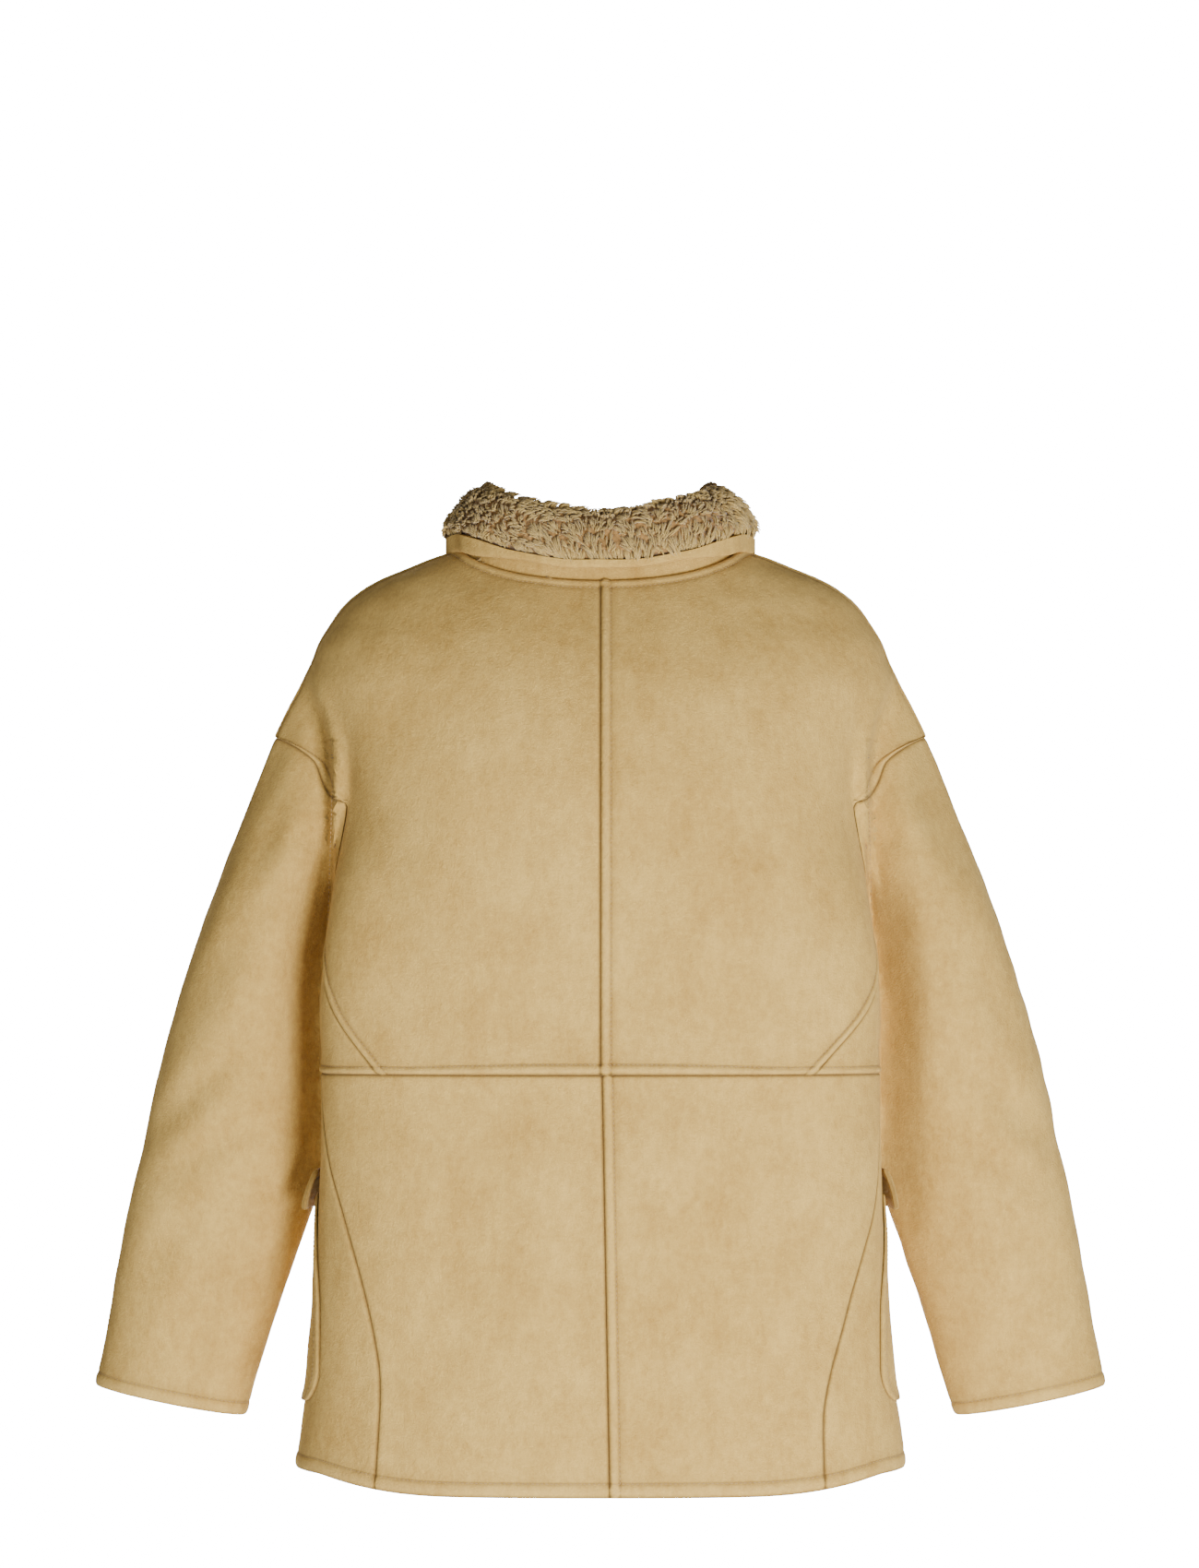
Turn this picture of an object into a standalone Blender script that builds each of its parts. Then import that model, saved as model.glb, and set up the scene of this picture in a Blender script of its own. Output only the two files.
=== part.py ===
"""Hip-length faux shearling jacket, in the hollow form it has when it is worn, with no wearer.

Metres, +Z up. The jacket faces -Y and the wearer's left is +X. The origin is where the wearer's
shoulders hold it: midway between the two points where the shoulder seams meet the neck seam.
Sizes are in millimetres until the last step, where MM turns them into metres.
"""

from collections import namedtuple

import bmesh
import bpy
import numpy as np

MM = 0.001
LEFT, RIGHT = 1, -1    # the wearer's sides, as signs of X

# ---------------------------------------------------------------- driving sizes, millimetres
CLOTH = 3.0            # suede face with its short pile
SEAM_INSET = 0.15      # each piece stops this far short of a seam
INNER_RELIEF = 0.5     # the inner face of a wall stops this much further short of it
RIDGE_HEIGHT = 1.7     # topstitched seam allowance, raised along one side of a seam
RIDGE_CREST, RIDGE_FOOT = 7.6, 9.2     # from the seam: where the ridge ends, and its foot
HEM_HEIGHT = 1.0       # hems and cuffs are turned up and sewn
HEM_CREST, HEM_FOOT = 10.5, 12.0
CUFF_CREST, CUFF_FOOT = 7.5, 8.8
WAIST_Z = -415.0
HEM_SIDE_Z, HEM_BACK_DIP = -723.5, 12.5
OVERLAP = 20.0         # each front passes the centre front by this much
LAP_DEPTH = 6.0        # the left front lies this far under the right one
LAP_FLAT, LAP_FADE = 46.0, 80.0
BACK_NECK_DROP, FRONT_NECK_DROP = 29.7, 84.0
BACK_NECK_CURVE, FRONT_NECK_CURVE = 3.5, 7.0
FRONT_NECK_EASE = 0.14  # share of the front drop that is spread evenly round the neck

BodyRing = namedtuple("BodyRing", "z half_width widest_y back_y front_y back_square front_square")
BODY = [
    BodyRing(10, 96, 3, 42, -34, 2.0, 2.0),
    BodyRing(0, 117, 3, 50, -42, 2.0, 2.0),
    BodyRing(-8, 139, 3, 57, -47, 2.0, 2.0),
    BodyRing(-16, 158, 4, 65, -52, 2.0, 2.0),
    BodyRing(-25, 179, 5, 73, -57, 2.0, 2.0),
    BodyRing(-34, 193.5, 5, 81, -62, 2.0, 2.0),
    BodyRing(-44, 204.5, 6, 89, -67, 2.05, 2.0),
    BodyRing(-60, 215.5, 6, 100, -75, 2.1, 2.1),
    BodyRing(-80, 226, 6, 112, -85, 2.2, 2.2),
    BodyRing(-105, 228, 6, 124, -96, 2.3, 2.3),
    BodyRing(-128, 221, 6, 132, -105, 2.4, 2.5),
    BodyRing(-150, 213, 7, 138, -114, 2.5, 2.6),
    BodyRing(-175, 207, 8, 143, -122, 2.6, 2.7),
    BodyRing(-204, 205, 12, 147, -130, 2.6, 2.7),
    BodyRing(-236, 206, 30, 148, -136, 2.6, 2.6),
    BodyRing(-268, 209, 50, 149, -140, 2.6, 2.4),
    BodyRing(-323, 216, 62, 149, -144, 2.6, 2.3),
    BodyRing(-372, 220, 62, 148, -147, 2.6, 2.3),
    BodyRing(-415, 219, 58, 148, -149, 2.6, 2.3),
    BodyRing(-490, 220.5, 53, 150, -151, 2.6, 2.3),
    BodyRing(-566, 223.5, 49, 153, -154, 2.55, 2.3),
    BodyRing(-640, 229, 46, 157, -157, 2.5, 2.3),
    BodyRing(-690, 236, 44, 160, -160, 2.5, 2.3),
    BodyRing(-745, 243, 42, 163, -162, 2.5, 2.3),
]

ArmRing = namedtuple("ArmRing", "z outer_x inner_x centre_y half_depth")
ARM = [
    ArmRing(10, 40, 20, 0, 8),
    ArmRing(-20, 110, 50, 0, 26),
    ArmRing(-60, 194, 80, 0, 48),
    ArmRing(-80, 215, 90, 0, 54),
    ArmRing(-99, 234, 98, 0, 58),
    ArmRing(-117, 245, 106, 0, 61),
    ArmRing(-134, 253.5, 115, 0, 63),
    ArmRing(-151, 261.5, 125, 0, 65),
    ArmRing(-168, 269, 136, 0, 66),
    ArmRing(-204, 283.5, 160, 0, 67),
    ArmRing(-239, 298, 185, -3, 69),
    ArmRing(-275, 311.5, 208, -7, 71),
    ArmRing(-310, 324, 214, -11, 71),
    ArmRing(-346, 336.5, 216.5, -14, 70),
    ArmRing(-382, 348, 217, -17, 68),
    ArmRing(-417, 357, 217, -20, 66),
    ArmRing(-453, 365, 218, -23, 63.5),
    ArmRing(-489, 373, 222, -25, 61),
    ArmRing(-519, 379.5, 231, -27, 58.5),
    ArmRing(-543, 384.5, 239.5, -29, 56),
    ArmRing(-597, 395.5, 257, -34, 50),
    ArmRing(-651, 406, 274, -38, 44),
    ArmRing(-715, 417, 295, -42, 38),
]
ARM_FILLET = 15.0          # how softly the shoulder flows on to the arm
SOFT_FOLD_Z, SHARP_FOLD_Z = -160.0, -204.0     # the fold behind the arm sharpens between these
FoldPoint = namedtuple("FoldPoint", "z line depth")
FOLD = [                   # the back's side edge, which hangs out over the back of the arm
    FoldPoint(-300, 224, 0),
    FoldPoint(-257, 214, 6),
    FoldPoint(-225, 209, 12),
    FoldPoint(-188, 208, 18),
    FoldPoint(-162, 209, 20),
    FoldPoint(-137, 214.5, 17),
    FoldPoint(-118, 223, 12),
    FoldPoint(-99, 232, 5),
    FoldPoint(-86, 238, 0),
]
FOLD_STEP = 8.0            # how wide the fold's side is
FOLD_DEEP_Y, FOLD_NONE_Y = 44.0, -8.0    # how far back the cloth is where the fold is full, and gone
CUFF_Z, CUFF_TILT = -681.5, 12.5   # middle of the cuff's edge; its outer end is higher
ARMHOLE_EASE = 0.16        # share of the sleeve in which its head turns into a round tube

# Seams are given round the body: 0 is the centre back, 90 the side, 180 the centre front
SeamPoint = namedtuple("SeamPoint", "z left_angle right_angle")
UPPER_SIDE_SEAM = [
    SeamPoint(-415, 46.0, 43.7), SeamPoint(-392, 53.5, 51.5), SeamPoint(-361, 65.5, 65.5),
    SeamPoint(-331, 79, 82), SeamPoint(-300, 93, 95), SeamPoint(-268, 102, 102),
]
LOWER_SIDE_SEAM = [
    SeamPoint(-415, 81, 85), SeamPoint(-431, 78, 82), SeamPoint(-487, 65.5, 74),
    SeamPoint(-516, 58.8, 68.5), SeamPoint(-549, 53.2, 60.5), SeamPoint(-580, 49, 54.5),
    SeamPoint(-611, 45.8, 50), SeamPoint(-640, 43.6, 46), SeamPoint(-672, 42.6, 43),
    SeamPoint(-735, 42, 41.5),
]
CentreBackPoint = namedtuple("CentreBackPoint", "z drift")
LOWER_CENTRE_BACK = [      # the lower centre back seam runs off to the wearer's right
    CentreBackPoint(-735, 7.0), CentreBackPoint(-560, 3.8), CentreBackPoint(-415, 1.2),
]
ArmholePoint = namedtuple("ArmholePoint", "share back_angle front_angle back_z front_z")
ARMHOLE = [                # share 0 at the top, 1 under the arm
    ArmholePoint(0.00, 92, 92, -147, -147),
    ArmholePoint(0.12, 83, 101, -150, -149),
    ArmholePoint(0.25, 74.5, 110, -158, -157),
    ArmholePoint(0.36, 69.6, 116, -172, -173),
    ArmholePoint(0.50, 68.6, 119, -200, -202),
    ArmholePoint(0.66, 74, 118.5, -230, -228),
    ArmholePoint(0.80, 82, 114, -249, -248),
    ArmholePoint(1.00, 102, 102, -268, -268),
]
SHOULDER_NECK_ANGLE = 84.0     # the shoulder seam lies a little behind the ridge of the shoulder

# Patch pocket and flap, on the lower front
POCKET_TOP_Z, POCKET_BOTTOM_Z = -510.0, -671.0
PocketEdge = namedtuple("PocketEdge", "share angle")
POCKET_REAR = [            # angle of its rear edge, by the share of the way down
    PocketEdge(0, 86), PocketEdge(0.25, 77), PocketEdge(0.5, 69.5), PocketEdge(1, 63.5),
]
POCKET_WIDTH, POCKET_CORNER = 168.0, 26.0
POCKET_CLOTH, POCKET_SEAT = 2.6, 1.6
FLAP_TOP_Z, FLAP_HEIGHT, FLAP_CLOTH = -491.0, 32.0, 4.0
FLAP_SEAT, FLAP_LIFT, FLAP_OVERHANG = 1.0, 9.0, 5.0

# Collar: one folded strip round the neck, pile on the neck side and on the outside of its fall
CollarStation = namedtuple("CollarStation", "share lean rise fall_drop flare")
COLLAR = [                 # share of the way from centre back to centre front
    CollarStation(0.00, 6, 48, 42.5, 7),
    CollarStation(0.09, 6, 51, 46, 7),
    CollarStation(0.18, 9, 54, 47, 8),
    CollarStation(0.27, 14, 52.5, 44, 11),
    CollarStation(0.34, 18.5, 49, 42.5, 15),
    CollarStation(0.45, 24, 43, 42, 20),
    CollarStation(0.60, 21, 42.5, 43.5, 19.5),
    CollarStation(0.78, 13, 42, 49, 19),
    CollarStation(0.92, 8, 41, 56, 17),
    CollarStation(1.00, 6, 40, 60, 15),
]
COLLAR_SUEDE, COLLAR_PILE = 2.0, 10.0
COLLAR_FOLD = 3.0          # space between stand and fall
COLLAR_END = 5.0           # each end stops this far from the centre front
COLLAR_BASE, COLLAR_INSET = 0.8, 1.2    # the stand's foot: above the neck seam, and inside it
EDGE_HEIGHT, EDGE_INSET, EDGE_SEAT = 5.0, 2.0, 1.4
COLLAR_STATIONS = 49

BUTTON_RADIUS, BUTTON_THICK, BUTTON_RIM = 13.0, 4.0, 1.0
BUTTON_Z = (-128.0, -252.0, -376.0, -500.0, -624.0)
BUTTON_SEAT = 0.35

# Mesh density: how many faces each stretch of a panel has, and the levels at the centre of the
# rows that end under the arm and at the top of the armhole
BACK_ROW_LEVELS, FRONT_ROW_LEVELS = (-258.0, -168.0), (-272.0, -152.0)
BACK_COLUMNS, LOWER_BACK_COLUMNS, FRONT_COLUMNS = 9, 10, 11
SIDE_ROWS, ARMHOLE_ROWS, SHOULDER_ROWS, LOWER_ROWS, SLEEVE_ROWS = 6, 8, 6, 11, 16

Finish = namedtuple("Finish", "colour roughness")
FINISHES = {
    "suede": Finish((0.58, 0.42, 0.23), 0.93),
    "collar_fur": Finish((0.46, 0.33, 0.16), 0.97),
    "button_horn": Finish((0.17, 0.10, 0.05), 0.42),
}


# ---------------------------------------------------------------- curves through short tables
def column(table, name):
    """A smooth function of a table's first column, through one of its other columns."""
    rows = sorted(table)
    x = np.array([row[0] for row in rows], float)
    y = np.array([getattr(row, name) for row in rows], float)
    step = np.diff(x)
    slope = np.diff(y) / step
    rising = slope[:-1] * slope[1:] > 0
    before, after = np.where(rising, slope[:-1], 1), np.where(rising, slope[1:], 1)
    weight_before, weight_after = 2 * step[1:] + step[:-1], step[1:] + 2 * step[:-1]
    middle = (weight_before + weight_after) / (weight_before / before + weight_after / after)
    tangent = np.concatenate([[slope[0]], np.where(rising, middle, 0), [slope[-1]]])

    def at(value):
        value = np.asarray(value, float)
        i = np.clip(np.searchsorted(x, value) - 1, 0, len(step) - 1)
        t = np.clip((value - x[i]) / step[i], 0, 1)
        ends = (2 * t ** 3 - 3 * t ** 2 + 1) * y[i] + (3 * t ** 2 - 2 * t ** 3) * y[i + 1]
        bends = (t ** 3 - 2 * t ** 2 + t) * tangent[i] + (t ** 3 - t ** 2) * tangent[i + 1]
        return ends + bends * step[i]

    return at


def columns(table):
    return {name: column(table, name) for name in table[0]._fields[1:]}


BODY_AT, ARM_AT, ARMHOLE_AT, COLLAR_AT, FOLD_AT = map(columns, (BODY, ARM, ARMHOLE, COLLAR, FOLD))
UPPER_SIDE_AT, LOWER_SIDE_AT = columns(UPPER_SIDE_SEAM), columns(LOWER_SIDE_SEAM)
CENTRE_BACK_DRIFT = column(LOWER_CENTRE_BACK, "drift")
POCKET_REAR_AT = column(POCKET_REAR, "angle")


def ease(t):
    t = np.clip(t, 0, 1)
    return t * t * (3 - 2 * t)


def mix(a, b, t):
    return a + (b - a) * t


def soft_max(a, b, width):
    width = np.maximum(width, 1e-6)
    t = np.clip(0.5 + (a - b) / (2 * width), 0, 1)
    return mix(b, a, t) + width * t * (1 - t)


def unit(vectors):
    return vectors / np.linalg.norm(vectors, axis=-1, keepdims=True)


def side_column(table, side):
    return table["left_angle" if side == LEFT else "right_angle"]


# ---------------------------------------------------------------- the body's outer surface
def torso(angle, z):
    """x and y of the torso without its shoulders' reach over the arms."""
    sine, cosine = np.sin(np.radians(angle)), np.cos(np.radians(angle))
    widest = BODY_AT["widest_y"](z)
    depth = np.where(cosine > 0, BODY_AT["back_y"](z) - widest, widest - BODY_AT["front_y"](z))
    square = np.where(cosine > 0, BODY_AT["back_square"](z), BODY_AT["front_square"](z))
    reach = (np.abs(sine) ** square + np.abs(cosine) ** square) ** (-1 / square)
    return BODY_AT["half_width"](z) * sine * reach, widest + depth * cosine * reach


def arm_oval(z):
    """Centre and half sizes of the sleeve's level section."""
    outer, inner = ARM_AT["outer_x"](z), ARM_AT["inner_x"](z)
    return (outer + inner) / 2, ARM_AT["centre_y"](z), (outer - inner) / 2, ARM_AT["half_depth"](z)


def far_side_of_arm(dx, dy, z):
    """How far out from the middle a level ray leaves the arm; it drops off where the ray misses."""
    cx, cy, rx, ry = arm_oval(z)
    ux, uy, px, py = dx / rx, dy / ry, -cx / rx, -cy / ry
    a, b, c = ux * ux + uy * uy, px * ux + py * uy, px * px + py * py - 1
    inside = b * b - a * c
    return (-b + np.sign(inside) * np.sqrt(np.abs(inside))) / a


def body_point(angle, z):
    """The body with its dropped shoulders, for the wearer's left half (angle from 0 to 180)."""
    angle, z = np.broadcast_arrays(np.asarray(angle, float), np.asarray(z, float))
    x, y = torso(angle, z)
    length = np.hypot(x, y)
    dx, dy = x / length, y / length
    over_arm = far_side_of_arm(np.abs(dx), dy, z)
    softness = ARM_FILLET * ease((z - SHARP_FOLD_Z) / (SOFT_FOLD_Z - SHARP_FOLD_Z))
    reach = np.where(z > SHARP_FOLD_Z, soft_max(length, over_arm, softness), length)
    return np.stack([dx * reach, dy * reach, z], -1)


def body_normal(angle, z):
    angle_step, z_step = 0.2, 0.2
    round_body = body_point(angle + angle_step, z) - body_point(angle - angle_step, z)
    up = body_point(angle, z + z_step) - body_point(angle, z - z_step)
    return unit(np.cross(round_body, up)) * -1


def tuck(points):
    """Moves the back of the arm forward, under the side edge of the back."""
    x, y, z = np.moveaxis(points, -1, 0)
    out = ease((x - FOLD_AT["line"](z)) / FOLD_STEP)
    depth = FOLD_AT["depth"](z) * out * ease((y - FOLD_NONE_Y) / (FOLD_DEEP_Y - FOLD_NONE_Y))
    return np.stack([x, y - depth, z], -1)


def neck_level(angle):
    cosine = np.cos(np.radians(angle))
    back = -BACK_NECK_DROP * np.abs(cosine) ** BACK_NECK_CURVE
    front = -FRONT_NECK_DROP * mix(np.abs(cosine) ** FRONT_NECK_CURVE, cosine ** 2,
                                   FRONT_NECK_EASE)
    return np.where(cosine > 0, back, front)


def below_neck(angle, distance):
    """Level at a distance down the cloth from the neck seam."""
    level = neck_level(angle)
    slope = body_point(angle, level) - body_point(angle, level - 1)
    return level - distance / np.linalg.norm(slope, axis=-1)


def hem_level(angle):
    cosine = np.cos(np.radians(angle))
    return HEM_SIDE_Z - HEM_BACK_DIP * ease((cosine - 0.45) / 0.45)


def front_edge_angle(z):
    """Angle at which the body passes the centre front by OVERLAP."""
    half = BODY_AT["half_width"](z)
    return 180 + np.degrees(np.arcsin(OVERLAP / half))


# ---------------------------------------------------------------- rows of a panel
def evenly(points, count):
    """Shares, evenly spaced along a line of points."""
    length = np.concatenate([[0], np.cumsum(np.linalg.norm(np.diff(points, axis=0), axis=-1))])
    return np.interp(np.linspace(0, length[-1], count + 1), length, np.linspace(0, 1, len(points)))


def side_and_shoulder(side, back):
    """Angle and level of each row's end on the side seam, the armhole and the shoulder seam."""
    seam = side_column(UPPER_SIDE_AT, side)
    low = np.concatenate([[WAIST_Z, WAIST_Z + RIDGE_CREST],
                          np.linspace(WAIST_Z + RIDGE_FOOT, ARMHOLE[-1].back_z, SIDE_ROWS + 1)])
    face = "back" if back else "front"
    fine = np.linspace(1, 0, 200)
    trace = body_point(ARMHOLE_AT[face + "_angle"](fine), ARMHOLE_AT[face + "_z"](fine))
    share = 1 - evenly(trace, ARMHOLE_ROWS)[1:]
    hole_angle, hole_z = ARMHOLE_AT[face + "_angle"](share), ARMHOLE_AT[face + "_z"](share)
    run = np.linspace(0, 1, 100)
    shoulder_angle = mix(ARMHOLE[0].back_angle, SHOULDER_NECK_ANGLE, run)
    shoulder_z = mix(ARMHOLE[0].back_z, float(below_neck(SHOULDER_NECK_ANGLE, RIDGE_FOOT)), run)
    share_up = evenly(body_point(shoulder_angle, shoulder_z), SHOULDER_ROWS)[1:]
    top_z = [below_neck(SHOULDER_NECK_ANGLE, distance) for distance in (RIDGE_CREST, 0)]
    angle = np.concatenate([seam(low), hole_angle, np.interp(share_up, run, shoulder_angle),
                            [SHOULDER_NECK_ANGLE] * 2])
    level = np.concatenate([low, hole_z, np.interp(share_up, run, shoulder_z), top_z])
    return angle, level


def row_marks():
    """Row numbers of an upper panel: underarm, top of the armhole, foot of the neck ridge."""
    underarm = SIDE_ROWS + 2
    top = underarm + ARMHOLE_ROWS
    return underarm, top, top + SHOULDER_ROWS


def centre_levels(underarm_z, shoulder_z, centre_angle):
    """Level of each row's end at the centre back or the centre front."""
    ridge_z = float(below_neck(centre_angle, RIDGE_FOOT))
    low = np.linspace(WAIST_Z + RIDGE_FOOT, underarm_z, SIDE_ROWS + 1)
    hole = np.linspace(underarm_z, shoulder_z, ARMHOLE_ROWS + 1)[1:]
    high = np.linspace(shoulder_z, ridge_z, SHOULDER_ROWS + 1)[1:]
    top = [float(below_neck(centre_angle, distance)) for distance in (RIDGE_CREST, 0)]
    return np.concatenate([[WAIST_Z, WAIST_Z + RIDGE_CREST], low, hole, high, top])


def spread(length, count, start_steps=(), end_steps=()):
    """Distances along a row: its own columns, and the lines of the ridges at its two ends."""
    first, last = max(start_steps, default=0), length - max(end_steps, default=0)
    middle = np.linspace(first, last, count + 1)
    ends = [0] + sorted(start_steps)[:-1] if start_steps else []
    more = [length - step for step in sorted(end_steps)[:-1][::-1]] + [length] if end_steps else []
    return np.concatenate([ends, middle, more])


def keep_fold(points, run, where):
    """Moves the two nearest columns to the two edges of the fold's side, where a row crosses it."""
    past = points[:, 0] - FOLD_AT["line"](points[:, 2])
    crosses = (past[:-1] < 0) & (past[1:] >= 0) & (FOLD_AT["depth"](points[1:, 2]) > 3)
    if crosses.any() and points[np.argmax(crosses), 1] > 0:
        start = run[np.argmax(crosses)]
        column = np.argmin(np.abs(where - start))
        if column + 2 < len(where) and where[column + 2] > start + 2 * FOLD_STEP:
            where[column:column + 2] = start, start + FOLD_STEP


def lay_row(angle, z, count, start_steps, end_steps):
    """Angle and level of the columns along one finely traced row, and both distances."""
    points = body_point(angle, z)
    run = np.concatenate([[0], np.cumsum(np.linalg.norm(np.diff(points, axis=0), axis=-1))])
    where = spread(run[-1], count, start_steps, end_steps)
    keep_fold(points, run, where)
    return np.interp(where, run, angle), np.interp(where, run, z), where, run[-1] - where


Panel = namedtuple("Panel", "angle z from_start from_end")
FINE = np.linspace(0, 1, 240)
RIDGE_STEPS = (RIDGE_CREST, RIDGE_FOOT)


def upper_panel(side, back):
    """Rows from the waist seam up to the neck seam, each from its rear end to its front end."""
    edge_angle, edge_z = side_and_shoulder(side, back)
    underarm, top, ridge = row_marks()
    if back:
        centre_angle = np.zeros(len(edge_z))
        centre_z = centre_levels(*BACK_ROW_LEVELS, 0)
    else:
        centre_z = centre_levels(*FRONT_ROW_LEVELS, 180)
        centre_angle = front_edge_angle(centre_z)
    rows = []
    for row in range(len(edge_z)):
        ends = (centre_angle[row], centre_z[row]), (edge_angle[row], edge_z[row])
        (start_angle, start_z), (end_angle, end_z) = ends if back else ends[::-1]
        angle, z = mix(start_angle, end_angle, FINE), mix(start_z, end_z, FINE)
        if row >= ridge:
            z = below_neck(angle, (RIDGE_FOOT, RIDGE_CREST, 0)[row - ridge])
        elif row > top:
            follow = ((row - top) / (ridge - top)) ** 1.5
            neck = below_neck(angle, RIDGE_FOOT)
            z = z + follow * (neck - mix(neck[0], neck[-1], FINE))
        centre_steps = RIDGE_STEPS if back and side == RIGHT else ()
        steps = (centre_steps, RIDGE_STEPS) if back else (RIDGE_STEPS, ())
        rows.append(lay_row(angle, z, BACK_COLUMNS if back else FRONT_COLUMNS, *steps))
    return Panel(*map(np.array, zip(*rows)))


def lower_panel(side, back):
    """Rows from the hem up to the waist seam."""
    seam = side_column(LOWER_SIDE_AT, side)
    height = WAIST_Z - HEM_SIDE_Z
    shares = np.concatenate([[0, HEM_CREST / height],
                             np.linspace(HEM_FOOT / height, 1, LOWER_ROWS + 1)])
    rows = []
    for share in shares:
        seam_angle = seam(mix(HEM_SIDE_Z, WAIST_Z, share))
        centre_z = mix(hem_level(0), WAIST_Z, share)
        drift = np.degrees(CENTRE_BACK_DRIFT(centre_z) / BODY_AT["half_width"](centre_z))
        if back:
            start, end = -side * drift, seam_angle
        else:
            start, end = seam_angle, front_edge_angle(mix(HEM_SIDE_Z, WAIST_Z, share))
        angle = mix(start, end, FINE)
        z = mix(hem_level(angle), WAIST_Z, share)
        steps = (RIDGE_STEPS if back and side == RIGHT else (), ())
        rows.append(lay_row(angle, z, LOWER_BACK_COLUMNS if back else FRONT_COLUMNS, *steps))
    return Panel(*map(np.array, zip(*rows)))


# ---------------------------------------------------------------- from a panel to a wall of cloth
def ridge(distance, height=RIDGE_HEIGHT, crest=RIDGE_CREST, foot=RIDGE_FOOT):
    return height * np.clip((foot - distance) / (foot - crest), 0, 1)


def pull_back(grid, distance):
    """Stops a grid of points short of its four edges, square to each edge."""
    for line, neighbour in ((grid[0], grid[1]), (grid[-1], grid[-2]),
                            (grid[:, 0], grid[:, 1]), (grid[:, -1], grid[:, -2])):
        along = unit(np.gradient(line, axis=0))
        inward = neighbour - line
        inward = inward - along * np.sum(inward * along, -1, keepdims=True)
        line += unit(inward) * distance


def sink_under_front(panel, side):
    """How deep the left front lies under the right one, by the distance from its free edge."""
    if side == RIGHT:
        return np.zeros(panel.angle.shape)
    return LAP_DEPTH * (1 - ease((panel.from_end - LAP_FLAT) / LAP_FADE))


def wall(panel, side, raised, sunk):
    """Outer and inner grids of a panel of cloth, on the wearer's left or right."""
    surface, normal = body_point(panel.angle, panel.z), body_normal(panel.angle, panel.z)
    outer = surface + normal * (raised - sunk)[..., None]
    inner = surface - normal * (CLOTH + sunk)[..., None]
    pull_back(outer, SEAM_INSET)
    pull_back(inner, SEAM_INSET + INNER_RELIEF)
    flip = np.array([side, 1, 1])
    return tuck(outer) * flip, tuck(inner) * flip


def upper_back(side):
    panel = upper_panel(side, True)
    underarm, top, _ = row_marks()
    rows = np.arange(len(panel.z))[:, None]
    along_side = 1 - ease((rows - underarm + 3) / 3)
    along_hole = ease((rows - top + 5) / 2)
    raised = ridge(panel.from_end) * np.maximum(along_side, along_hole)
    if side == RIGHT:
        raised = np.maximum(raised, ridge(panel.from_start))
    raised = np.maximum(raised, ridge_of_rows(panel))
    return wall(panel, side, raised, np.zeros(panel.z.shape))


def ridge_of_rows(panel):
    """The ridges above the waist seam and below the neck seam."""
    raised = np.zeros(panel.z.shape)
    raised[[0, 1, -1, -2]] = RIDGE_HEIGHT
    return raised


def upper_front(side):
    panel = upper_panel(side, False)
    _, top, _ = row_marks()
    rows = np.arange(len(panel.z))[:, None]
    along_hole = ease((rows - top + 5) / 2) * (rows <= top)
    sunk = sink_under_front(panel, side)
    raised = np.maximum(ridge(panel.from_start) * along_hole, ridge_of_rows(panel))
    return wall(panel, side, raised * (1 - sunk / LAP_DEPTH), sunk)


def lower(side, back):
    panel = lower_panel(side, back)
    raised = np.zeros(panel.z.shape)
    raised[:2] = HEM_HEIGHT
    if back and side == RIGHT:
        raised = np.maximum(raised, ridge(panel.from_start))
    sunk = np.zeros(panel.z.shape) if back else sink_under_front(panel, side)
    return wall(panel, side, raised * (1 - sunk / LAP_DEPTH), sunk)


# ---------------------------------------------------------------- sleeves
def sleeve_point(turn, z):
    """The sleeve's oval; turn is in degrees from its outer side towards the back."""
    cx, cy, rx, ry = arm_oval(z)
    sine, cosine = np.sin(np.radians(turn)), np.cos(np.radians(turn))
    return np.stack([cx + rx * cosine, cy + ry * sine, z], -1)


def armhole_loop(side):
    """Points of the armhole seam, from its top down the back, and up the front to the top."""
    underarm, top, _ = row_marks()
    loop = []
    for back in (True, False):
        angle, z = side_and_shoulder(side, back)
        points = body_point(angle[underarm:top + 1], z[underarm:top + 1])
        loop.append(points[::-1] if back else points)
    return np.concatenate([loop[0], loop[1][1:]])


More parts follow.
